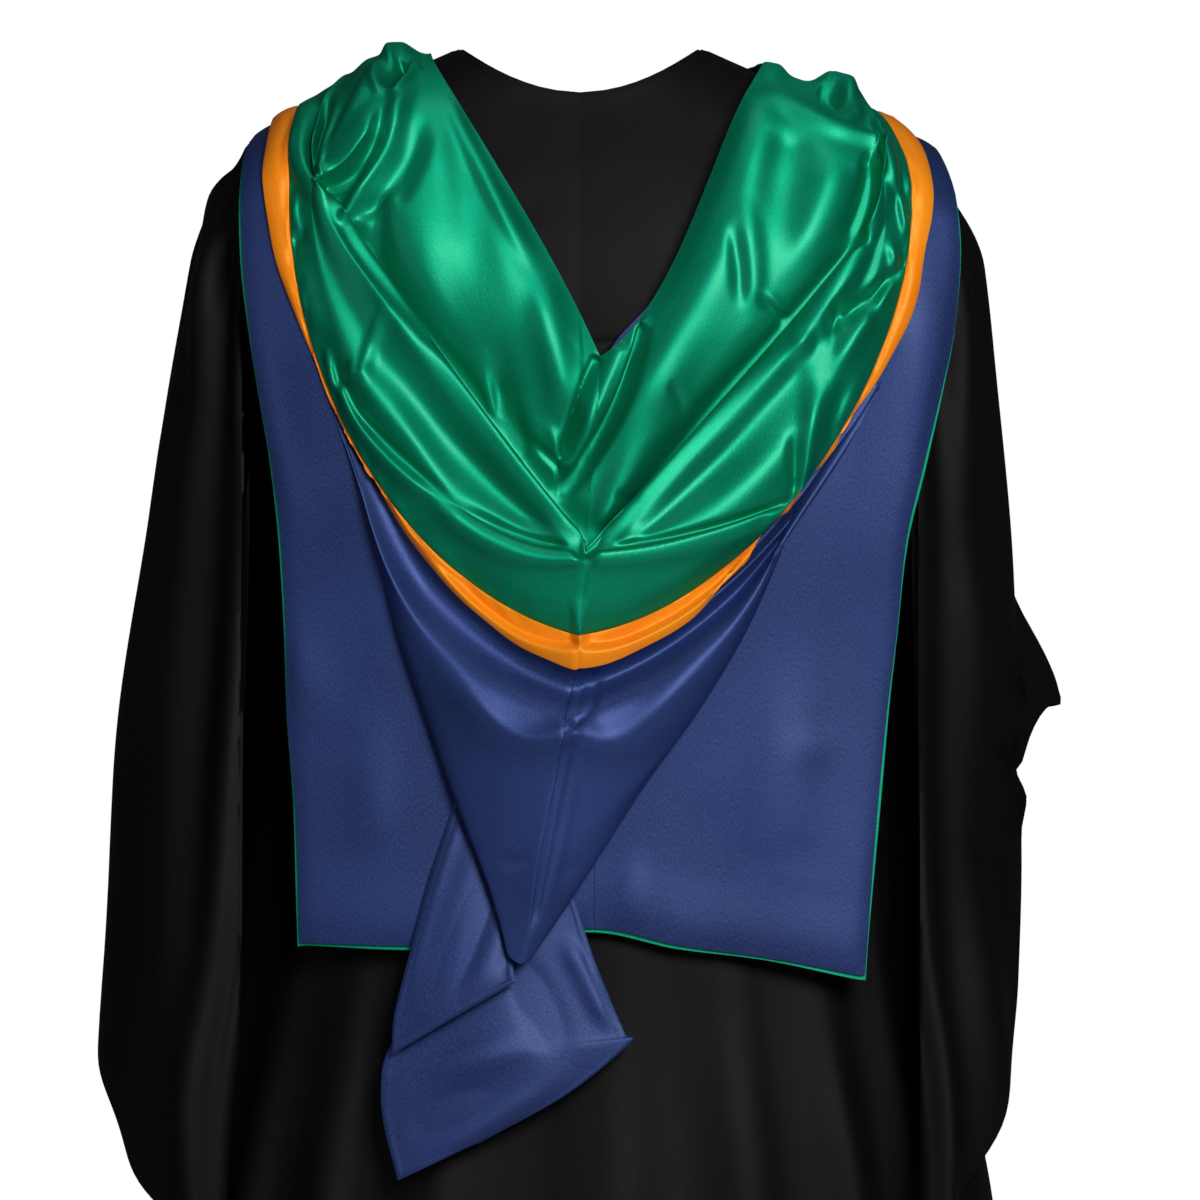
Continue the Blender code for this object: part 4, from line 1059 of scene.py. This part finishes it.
def yokes(look):
    """The upper back, with its centre seam and the seam that takes the gathers."""
    columns, rows = YOKE_MESH
    fractions = np.linspace(-1, 1, columns)
    x = np.broadcast_to(across_body(fractions * 0.999) * ARMHOLE_X, (rows, columns))
    top = along(neck_drop(x))
    top = np.where(np.abs(x) > NECK_HALF, SEAM / 2, np.maximum(top, SEAM / 2))
    bottom = body_level(x, -YOKE_DROP)
    w = top + (bottom - top) * np.linspace(0, 1, rows)[:, None]
    flat = body_point(x, w)
    height = seamed(0 * x, edge_distance(flat, 0, "last"))
    height = hemmed(height, edge_distance(flat, 0, "first"), *NECK_HEM)
    height = seamed(height, np.abs(x))
    height += 0.5 * MM * soft_noise(x, w, 11, 0.05) * ease(edge_distance(flat, 0, "first") / 0.03)
    normals = form_normals(body_point, x, w)
    points = flat + normals * height[..., None]
    for side, part in sides(columns):
        finish_piece("yoke_" + side, points[:, part], normals[:, part], GOWN_WALL, look)


def back_panel(look):
    """The wide back: fine gathers below the yoke that run out into long soft folds."""
    columns, rows = BACK_MESH
    fractions = np.linspace(-1, 1, columns)
    share = np.linspace(0, 1, rows)[:, None]
    drop = YOKE_DROP + (GOWN_LENGTH - YOKE_DROP) * share ** 1.7
    edge = side_edge(drop) * np.ones((1, columns))
    x = across_body(fractions * 0.9992) * edge
    down = (drop - YOKE_DROP) / (GOWN_LENGTH - YOKE_DROP)
    flat = body_point(x, body_level(x, -drop))
    normals = outward(flat, -1)
    fade = ease((1 - np.abs(fractions)) / 0.12)
    wander = 0.6 * np.sin(fractions * 19) + 0.5 * np.sin(fractions * 47 + 1)
    reach = 0.045 * (1 + 0.5 * np.sin(fractions * 31 + 2) + 0.3 * np.sin(fractions * 77))
    fine = np.sin(fractions * math.pi * BACK_GATHERS + wander) * BACK_GATHER_HEIGHT * np.exp(-down / reach)
    fine = fine * ease(down / 0.004)
    mid = np.sin(fractions * math.pi * 13 + 2 * wander) * 1.6 * MM * ease(down / 0.08) * np.exp(-down / 0.35)
    under_cape = 0.35 + 0.65 * ease((drop - 0.55) / 0.25)
    long_folds = fold_height(BACK_FOLDS, fractions, down) * under_cape
    height = (long_folds + fine + mid * under_cape) * fade
    height = seamed(height, edge_distance(flat, 0, "first"))
    height = hemmed(height, edge_distance(flat, 0, "last"), *BOTTOM_HEM)
    points = flat + normals * height[..., None]
    normals = outward(points, -1)
    points = narrowed(points, True, False, 0)
    finish_piece("gown_back", points, normals, GOWN_WALL, look)


def front_panels(look):
    """The open fronts, with turned front edges and soft folds."""
    columns, rows = FRONT_MESH
    for side, sign in (("left", -1), ("right", 1)):
        drops = (np.linspace(0, 1, rows) ** 1.4 * GOWN_LENGTH)[:, None]
        inner = lookup(FRONT_EDGE, drops, 1)
        spread = across_body(np.linspace(0, 0.9992, columns))[None, :]
        outer = side_edge(drops)
        x = inner + (outer - inner) * spread
        share = drops / GOWN_LENGTH
        w = -(SEAM / 2 + along(share * (crest(x) + GOWN_LENGTH)))
        levels = np.where(drops < 0.19, w, -along(crest(x) + drops))
        blend = ease(drops / 0.27)
        w = w * (1 - blend) + levels * blend
        flat = body_point(x * sign, w)
        z_share = np.clip(-flat[..., 2] / GOWN_LENGTH, 0, 1)
        normals = outward(flat, 1)
        fade = ease((1 - spread) / 0.06) * ease((z_share - 0.1) / 0.2)
        height = fold_height(FRONT_FOLDS, spread, z_share) * fade
        height += 1.2 * MM * np.sin(spread * 21 + 3 * share * 2 + sign) * fade * ease(share * 3)
        height = hemmed(height, edge_distance(flat, 1, "first"), *FRONT_HEM)
        height = hemmed(height, edge_distance(flat, 0, "last"), *BOTTOM_HEM)
        points = flat + normals * height[..., None]
        normals = outward(points, 1)
        top = drops[:, 0] < 0.03
        normals[top] = form_normals(body_point, x[top] * sign, w[top])
        finish_piece("gown_front_" + side, points, normals, GOWN_WALL, look)


def sleeves(look):
    """Bell sleeves: fine gathers round the head, long folds, and a narrow turned hem."""
    columns, rows = SLEEVE_MESH
    for side, outer_column in (("left", 1), ("right", 2)):
        sign = -1 if side == "left" else 1
        turn = np.arange(columns) / columns
        angle = turn * 2 * math.pi
        shoulder = -crest(ARMHOLE_X) + 1.5 * MM
        armpit = ARMPIT_DROP - 1 * MM
        head_drop = shoulder + (armpit - shoulder) * (1 - np.cos(angle)) / 2
        behind = body_point(np.full(columns, ARMHOLE_X), along(crest(ARMHOLE_X) + head_drop))
        ahead = body_point(np.full(columns, ARMHOLE_X), -along(crest(ARMHOLE_X) + head_drop))
        hole_y = np.where(turn <= 0.5, behind[:, 1], ahead[:, 1])
        hem = smooth(turn, [row[0] for row in SLEEVE_HEM], column(SLEEVE_HEM, outer_column))
        share = np.linspace(0, 1, rows)[:, None] ** 1.35
        drop = head_drop + (hem - head_drop) * share
        outer = lookup(SLEEVE_OUT, drop, outer_column)
        inner = np.maximum(lookup(BODY, drop, 1), ARMHOLE_X) + SLEEVE_CLEAR
        inner = np.where(drop < ARMPIT_DROP, ARMHOLE_X + SLEEVE_CLEAR, inner)
        reach = np.where(np.sin(angle) > 0, lookup(SLEEVE_OUT, drop, 3), lookup(SLEEVE_OUT, drop, 4))
        wrap = lookup(SLEEVE_OUT, drop, 5)
        y = -reach * np.sin(angle)
        x = (outer + inner) / 2 + (outer - inner) / 2 * np.cos(angle) - wrap * np.sin(angle) ** 2
        below = drop - head_drop
        settle = np.sin(np.clip(below / 0.085, 0, 1) * math.pi / 2)
        x = ARMHOLE_X + 0.5 * MM + (x - ARMHOLE_X - 0.5 * MM) * settle
        y = hole_y + (y - hole_y) * settle
        flat = np.stack([x, y, -drop + 0 * x], -1)
        normals = grid_normals(flat, closed=True)
        normals *= np.where(normals[rows // 2, 0, 0] < 0, -1, 1)
        height = np.zeros(x.shape)
        for at, width, top, low in SLEEVE_FOLDS:
            size = (top + (low - top) * ease(share * 1.2)) * MM
            height = height + size * np.exp(-((turn - at) / width) ** 2)
        wander = np.sin(angle * 3 + 1) + 0.7 * np.sin(angle * 7)
        reach_down = 0.045 * (1 + 0.5 * np.sin(angle * 5) + 0.35 * np.sin(angle * 11 + 1))
        gathers = np.sin(turn * 2 * math.pi * 26 + wander) * 1.7 * MM * np.exp(-below / reach_down)
        gathers = gathers * ease(below / 0.004) * (1 - np.exp(-((turn - 0.5) / 0.11) ** 4))
        pleats = np.sin(turn * 2 * math.pi * 11 + 2 * wander) * 1.8 * MM * np.exp(-below / 0.16)
        pleats = pleats * ease(below / 0.03) * (1 - np.exp(-((turn - 0.5) / 0.14) ** 4))
        height = height * ease(below / 0.03) + gathers + pleats
        seen = ease((-normals[..., 1] + 0.1) / 0.3)
        height = height + crease_height(SLEEVE_CREASES, x * sign, -drop + 0 * x) * seen * ease(below / 0.04)
        flare = np.zeros(x.shape)
        for row in SLEEVE_FLARE:
            size = row[1 + outer_column] * MM * ease((share - 0.72) / 0.28)
            flare = flare + size * np.exp(-((turn - row[0]) / row[1]) ** 2)
        height = hemmed(height, edge_distance(flat, 0, "last"), *SLEEVE_EDGE_HEM)
        points = flat + normals * height[..., None]
        points[..., 0] += flare
        points[..., 0] = np.maximum(points[..., 0], ARMHOLE_X + 0.4 * MM + 0.2 * np.minimum(below, 10 * MM))
        normals = grid_normals(points, closed=True)
        normals *= np.where(normals[rows // 2, 0, 0] < 0, -1, 1)
        normals[0, :, 0] = 0
        normals[0] /= np.linalg.norm(normals[0], axis=-1, keepdims=True)
        if side == "left":
            points = points * np.array([-1, 1, 1])
            normals = normals * np.array([-1, 1, 1])
        finish_piece("sleeve_" + side, points, normals, GOWN_WALL, look, closed=True)


def cape_panels(shell, lining):
    """The flat panels of the hood on the shoulders, with a pressed hem, and their lining."""
    x, w = cape_grid(*CAPE_MESH)
    half = x.shape[1] // 2
    for index, sign in ((half - 1, -1), (half, 1)):
        x[:, index] += sign * NECK_MOVE * ease((0.21 - w[:, index]) / 0.02)
    for side, sign, part in (("left", -1, slice(0, half)), ("right", 1, slice(half, None))):
        px, pw = x[:, part], w[:, part]
        flat = lifted(cape_point, px, pw, 0 * px)
        outer_edge = edge_distance(flat, 1, "first" if side == "left" else "last")
        hem_edge = edge_distance(flat, 0, "last")
        lift = crease_height(CAPE_CREASES, flat[..., 0], flat[..., 2])
        lift = soft_floor(lift, -0.5 * MM, 2 * MM) + 0.4 * MM
        lift = lift * ease(hem_edge / 0.012) * ease(outer_edge / 0.01)
        press = np.exp(-((hem_edge - CAPE_HEM_LINE) / (1.6 * MM)) ** 2)
        turned = 1 - ease((hem_edge - CAPE_HEM_LINE + 1 * MM) / (2 * MM))
        lift = lift - 1.0 * MM * press + 0.6 * MM * turned
        roll = np.exp(-(outer_edge / (1.0 * MM)) ** 2) + np.exp(-(hem_edge / (1.0 * MM)) ** 2)
        lift = np.maximum(lift - 0.4 * MM * roll, -0.6 * MM) + 0.7 * MM
        outer = lifted(cape_point, px, pw, lift)
        normals = outward(outer, -1)
        first, last = (False, True) if side == "left" else (True, False)
        outer = narrowed(outer, first, last, 1)
        finish_piece("cape_" + side, outer, normals, HOOD_WALL, shell)
        edge = 0 if side == "left" else -1
        px, pw, normals = px[::2], pw[::2], normals[::2]
        wider = px.copy()
        peep = 1.5 * MM + 0.6 * MM * np.sin(pw[:, edge] * 26 + sign)
        wider[:, edge] += sign * peep
        longer = pw.copy()
        longer[-1] += 2.2 * MM + 0.6 * MM * np.sin(px[-1] * 40)
        inner = lifted(cape_point, wider, longer, -(HOOD_WALL + LAYER_GAP) + 0 * px)
        inner = narrowed(inner, first, last, 1)
        finish_piece("cape_lining_" + side, inner, normals, HOOD_WALL, lining)


def cowl_points(columns, t):
    """Both halves of the cowl with the strap over the crest: x, w, lift and its folds' heights."""
    lengths = np.linspace(STRAP_JOIN, 0.06, OVER_CREST_COLUMNS)
    halves = []
    row = t[:, None]
    meeting = ease((np.linspace(0, 1, columns) - 0.75) / 0.25)
    pair = [np.stack(cowl_grid(columns, t, table)) for table in (COWL_LEFT, COWL_RIGHT)]
    middle = (pair[0][..., -1:] + pair[1][..., -1:]) / 2
    for sign, grids in zip((-1, 1), pair):
        x, w, lift = grids + (middle - grids[..., -1:]) * meeting
        start = sign * x[:, 0]
        near = 1 - lengths / STRAP_JOIN
        whole = (start - start.min()) / (start.max() - start.min())
        own = (start / MM - STRAP_INNER[0]) / (STRAP_OUTER[0] - STRAP_INNER[0])
        share = whole[:, None] + (own - whole)[:, None] * ease(near)
        over_x, over_w = strap(lengths, share)
        over_x = sign * over_x
        over_lift = STRAP_LIFT + (lift[:, :1] - STRAP_LIFT) * ease(near)[None, :]
        x = np.concatenate([over_x, x], 1)
        w = np.concatenate([over_w, w], 1)
        lift = np.concatenate([over_lift, lift], 1)
        seen = lifted(cape_point, x, w, lift)
        behind = ease((w + 0.008) / 0.012)
        folds = blurred(crease_height(CREASES, seen[..., 0], seen[..., 2]) * behind)
        _, lap_x, lap_z = crease_fields(LAPS, seen[..., 0], seen[..., 2])
        inside = ease((LINING_ROWS - row) / 0.8) * ease(row / 0.6) * ease((w - 0.004) / 0.01)
        halves.append((x + blurred(lap_x * inside), w - blurred(lap_z * inside), lift, folds))
    return halves


def cowl_layers(green, orange):
    """The green lining with its folds, and the orange edging, sewn along the tenth key line."""
    split = LINING_LINES
    edging_t = np.linspace(LINING_ROWS, COWL_ROWS, EDGING_LINES)[1:]
    t = np.concatenate([np.linspace(0, LINING_ROWS, split), edging_t])
    past_seam = t[:, None] - LINING_ROWS
    seam = np.abs(past_seam)
    on_band = ease(past_seam / 0.3)
    swell = np.sin(np.clip(past_seam / 2, 0, 1) * math.pi)
    lowest = np.where(past_seam > 0, 3.0 * MM, 1.9 * MM)
    halves = []
    for index, (x, w, lift, folds) in enumerate(cowl_points(COWL_COLUMNS, t)):
        sign = -1 if index == 0 else 1
        lift = lift + folds
        s = np.linspace(0, 1, x.shape[1])[None, :]
        pucker = np.sin(s * 95 + 2.2 * np.sin(s * 23 + sign)) + 0.6 * np.sin(s * 61 + 1 + sign)
        lift = lift + 0.5 * MM * pucker * np.exp(-((seam - 0.25) / 0.28) ** 2)
        lift = lift - 0.9 * MM * np.exp(-(seam / 0.06) ** 2)
        wave = np.sin(s * 31 + sign * 2) + 0.6 * np.sin(s * 57 + 1)
        lift = lift + on_band * (1.6 * MM * swell + 0.5 * MM * wave * swell)
        lift = soft_floor(lift, lowest)
        points = lifted(cape_point, x, w, lift)
        normals = outward(points, -1)
        line = points[split - 1]
        shown = smooth(line[:, 2], column(EDGE_SHOWN, 0), column(EDGE_SHOWN, 1 + index)) / MM
        shown = (shown * (1 + 0.02 * np.sin(s[0] * 53 + sign)))[None, :, None]
        tuck = 5 * MM * np.clip(1 - shown, 0, 1) * normals[split:]
        points[split:] = line + (points[split:] - line) * shown - tuck
        halves.append(points)
    points, normals, across = joined(*halves)
    middle = points.shape[1] // 2
    low = ease((LOW_SEAM - points[:, middle:middle + 1, 2]) / 0.012)
    points = points + normals * (seamed(0 * across, across, 1.4 * MM, 2.2 * MM) * low)[..., None]
    for side, part in sides(points.shape[1]):
        upper = narrowed(points[:split, part], False, True, 0)
        lower = narrowed(points[split - 1:, part], True, False, 0)
        finish_piece("cowl_lining_" + side, upper, normals[:split, part], HOOD_WALL, green)
        finish_piece("edging_" + side, lower, normals[split - 1:, part], HOOD_WALL, orange)


def shell_layers(look):
    """The navy shell below the edging, with the swags' soft folds and the centre seam."""
    columns, lines = SHELL_MESH
    t = np.linspace(0, len(SHELL_LEFT) + 2, lines)
    row = t[:, None]
    hidden = 13 * MM * (1 - ease((row - 0.4) / 1.4))
    tuck = 14 * MM * np.exp(-((row - 2.70) / 0.62) ** 2)
    tuck = tuck * ease((np.linspace(0, 1, columns) - 0.10) / 0.35)
    halves = []
    for table, cowl_table in ((SHELL_LEFT, COWL_LEFT), (SHELL_RIGHT, COWL_RIGHT)):
        x, z, lift = shell_half(table, cowl_table, columns, t)
        folds = crease_height(SHELL_CREASES, x, z) * ease((row - 1.8) / 0.4)
        lift = soft_floor(lift + folds - hidden - tuck, 2.0 * MM)
        halves.append(lifted(cape_point, x, along(crest(x) + CAPE_RISE - z), lift))
    points, normals, across = joined(*halves)
    points = points + normals * seamed(0 * across, across)[..., None]
    for side, part in sides(points.shape[1]):
        piece = narrowed(points[:, part], side == "right", side == "left", 1)
        finish_piece("cowl_" + side, piece, normals[:, part], HOOD_WALL, look)


def tail_pieces(look):
    """The folded tail: soft panels with rolled, top-stitched edges."""
    columns, lines = TAIL_MESH
    for name, table in (("tail_flap", TAIL_FLAP), ("tail_end", TAIL_END)):
        points = tail_grid(table, columns, np.linspace(0, len(table) - 1, lines))
        normals = outward(points, -1)
        height = crease_height(TAIL_CREASES, points[..., 0], points[..., 2])
        edges = np.minimum(edge_distance(points, 1, "first"), edge_distance(points, 1, "last"))
        edges = np.minimum(edges, edge_distance(points, 0, "last"))
        height = np.clip(height, -1.0 * MM, 3 * MM) * ease(edges / 0.01)
        from_stitch = edges - TAIL_STITCH
        height = height - 0.5 * MM * np.exp(-(from_stitch / (0.8 * MM)) ** 2)
        height = seamed(height, edges, 0.8 * MM, 1.1 * MM) + 0.4 * MM * (1 - ease(from_stitch / 0.002))
        points = points + normals * height[..., None]
        normals = outward(points, -1)
        finish_piece(name, points, normals, HOOD_WALL, look)


def front_bands(look):
    """The plain bands that carry the hood over the shoulders to the chest."""
    columns, rows = BAND_MESH
    start = STRAP_JOIN + 0.005
    length = start + (1 - start) * np.linspace(0, 1, columns)
    share = np.linspace(0, 1, rows)[:, None]
    for side, sign in (("left", -1), ("right", 1)):
        x, w = strap(length, share)
        x = np.maximum(x, SEAM / 2)
        down = (length - STRAP_JOIN) / (1 - STRAP_JOIN)
        lift = STRAP_LIFT + (STRAP_END_LIFT - STRAP_LIFT) * ease(down / 0.5) + 0 * x
        flat = lifted(cape_point, sign * x, w, lift)
        edges = np.minimum(edge_distance(flat, 0, "first"), edge_distance(flat, 0, "last"))
        lift = seamed(lift, edges, 0.5 * MM, 1.2 * MM)
        lift = seamed(lift, edges - BAND_STITCH, 0.3 * MM, 0.9 * MM)
        points = lifted(cape_point, sign * x, w, lift)
        normals = outward(points, 1)
        normals[:, -1, 0] = 0
        points = narrowed(points, True, False, 1)
        finish_piece("band_" + side, points, normals, HOOD_WALL, look)


def lamp(name, place, aim, size, power, colour):
    light = bpy.data.lights.new(name, "AREA")
    light.shape = "RECTANGLE"
    light.size, light.size_y = size
    light.energy = power
    light.color = colour
    made = bpy.data.objects.new(name, light)
    made.location = place
    away = np.array(place) - np.array(aim)
    flat = math.hypot(away[0], away[1])
    made.rotation_euler = (math.atan2(flat, away[2]), 0, math.atan2(away[0], -away[1]))
    bpy.context.scene.collection.objects.link(made)


def studio():
    """A pale floor below the hem, soft lights from the right and above, and the camera behind."""
    scene = bpy.context.scene
    world = bpy.data.worlds.new("studio")
    scene.world = world
    world.use_nodes = True
    tree = world.node_tree
    tree.nodes.clear()
    out = node(tree, "ShaderNodeOutputWorld")
    mix = node(tree, "ShaderNodeMixShader")
    path = node(tree, "ShaderNodeLightPath")
    fill = node(tree, "ShaderNodeBackground")
    put(fill, Color=(0.92, 0.96, 1.0, 1), Strength=0.045)
    white = node(tree, "ShaderNodeBackground")
    put(white, Color=(1, 1, 1, 1), Strength=1.0)
    tree.links.new(path.outputs["Is Camera Ray"], mix.inputs[0])
    tree.links.new(fill.outputs[0], mix.inputs[1])
    tree.links.new(white.outputs[0], mix.inputs[2])
    tree.links.new(mix.outputs[0], out.inputs[0])

    bpy.ops.mesh.primitive_plane_add(size=9, location=(0, 0, -1.62))
    floor = bpy.context.object
    floor.name = "floor"
    pale = bpy.data.materials.new("floor_pale")
    pale.use_nodes = True
    put(pale.node_tree.nodes["Principled BSDF"], Base_Color=(0.62, 0.62, 0.62, 1), Roughness=0.8)
    floor.data.materials.append(pale)

    aim = (0.0, 0.0, -0.35)
    lamp("key", (0.95, -2.9, 0.75), aim, (1.1, 1.3), 80, (1.0, 0.99, 0.97))
    lamp("fill", (-2.3, -2.4, 0.5), aim, (1.4, 1.8), 7, (0.96, 0.98, 1.0))
    lamp("top", (0.0, -0.7, 2.2), (0, -0.1, -0.2), (1.6, 1.2), 9, (1.0, 1.0, 1.0))

    camera = bpy.data.cameras.new("camera")
    distance = 8.0
    wide = 0.84
    camera.sensor_width = 36
    camera.lens = 36 * distance / wide
    camera.clip_end = 40
    made = bpy.data.objects.new("camera", camera)
    made.location = (0.014, -0.12 - distance, -0.358)
    made.rotation_euler = (math.pi / 2, 0, 0)
    scene.collection.objects.link(made)
    scene.camera = made
    scene.view_settings.view_transform = "Standard"
    scene.view_settings.look = "None"


def main():
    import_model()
    black, navy, shell, green, orange = make_looks()
    yokes(black)
    back_panel(black)
    front_panels(black)
    sleeves(black)
    cape_panels(navy, green)
    cowl_layers(green, orange)
    shell_layers(shell)
    tail_pieces(navy)
    front_bands(navy)
    studio()


main()
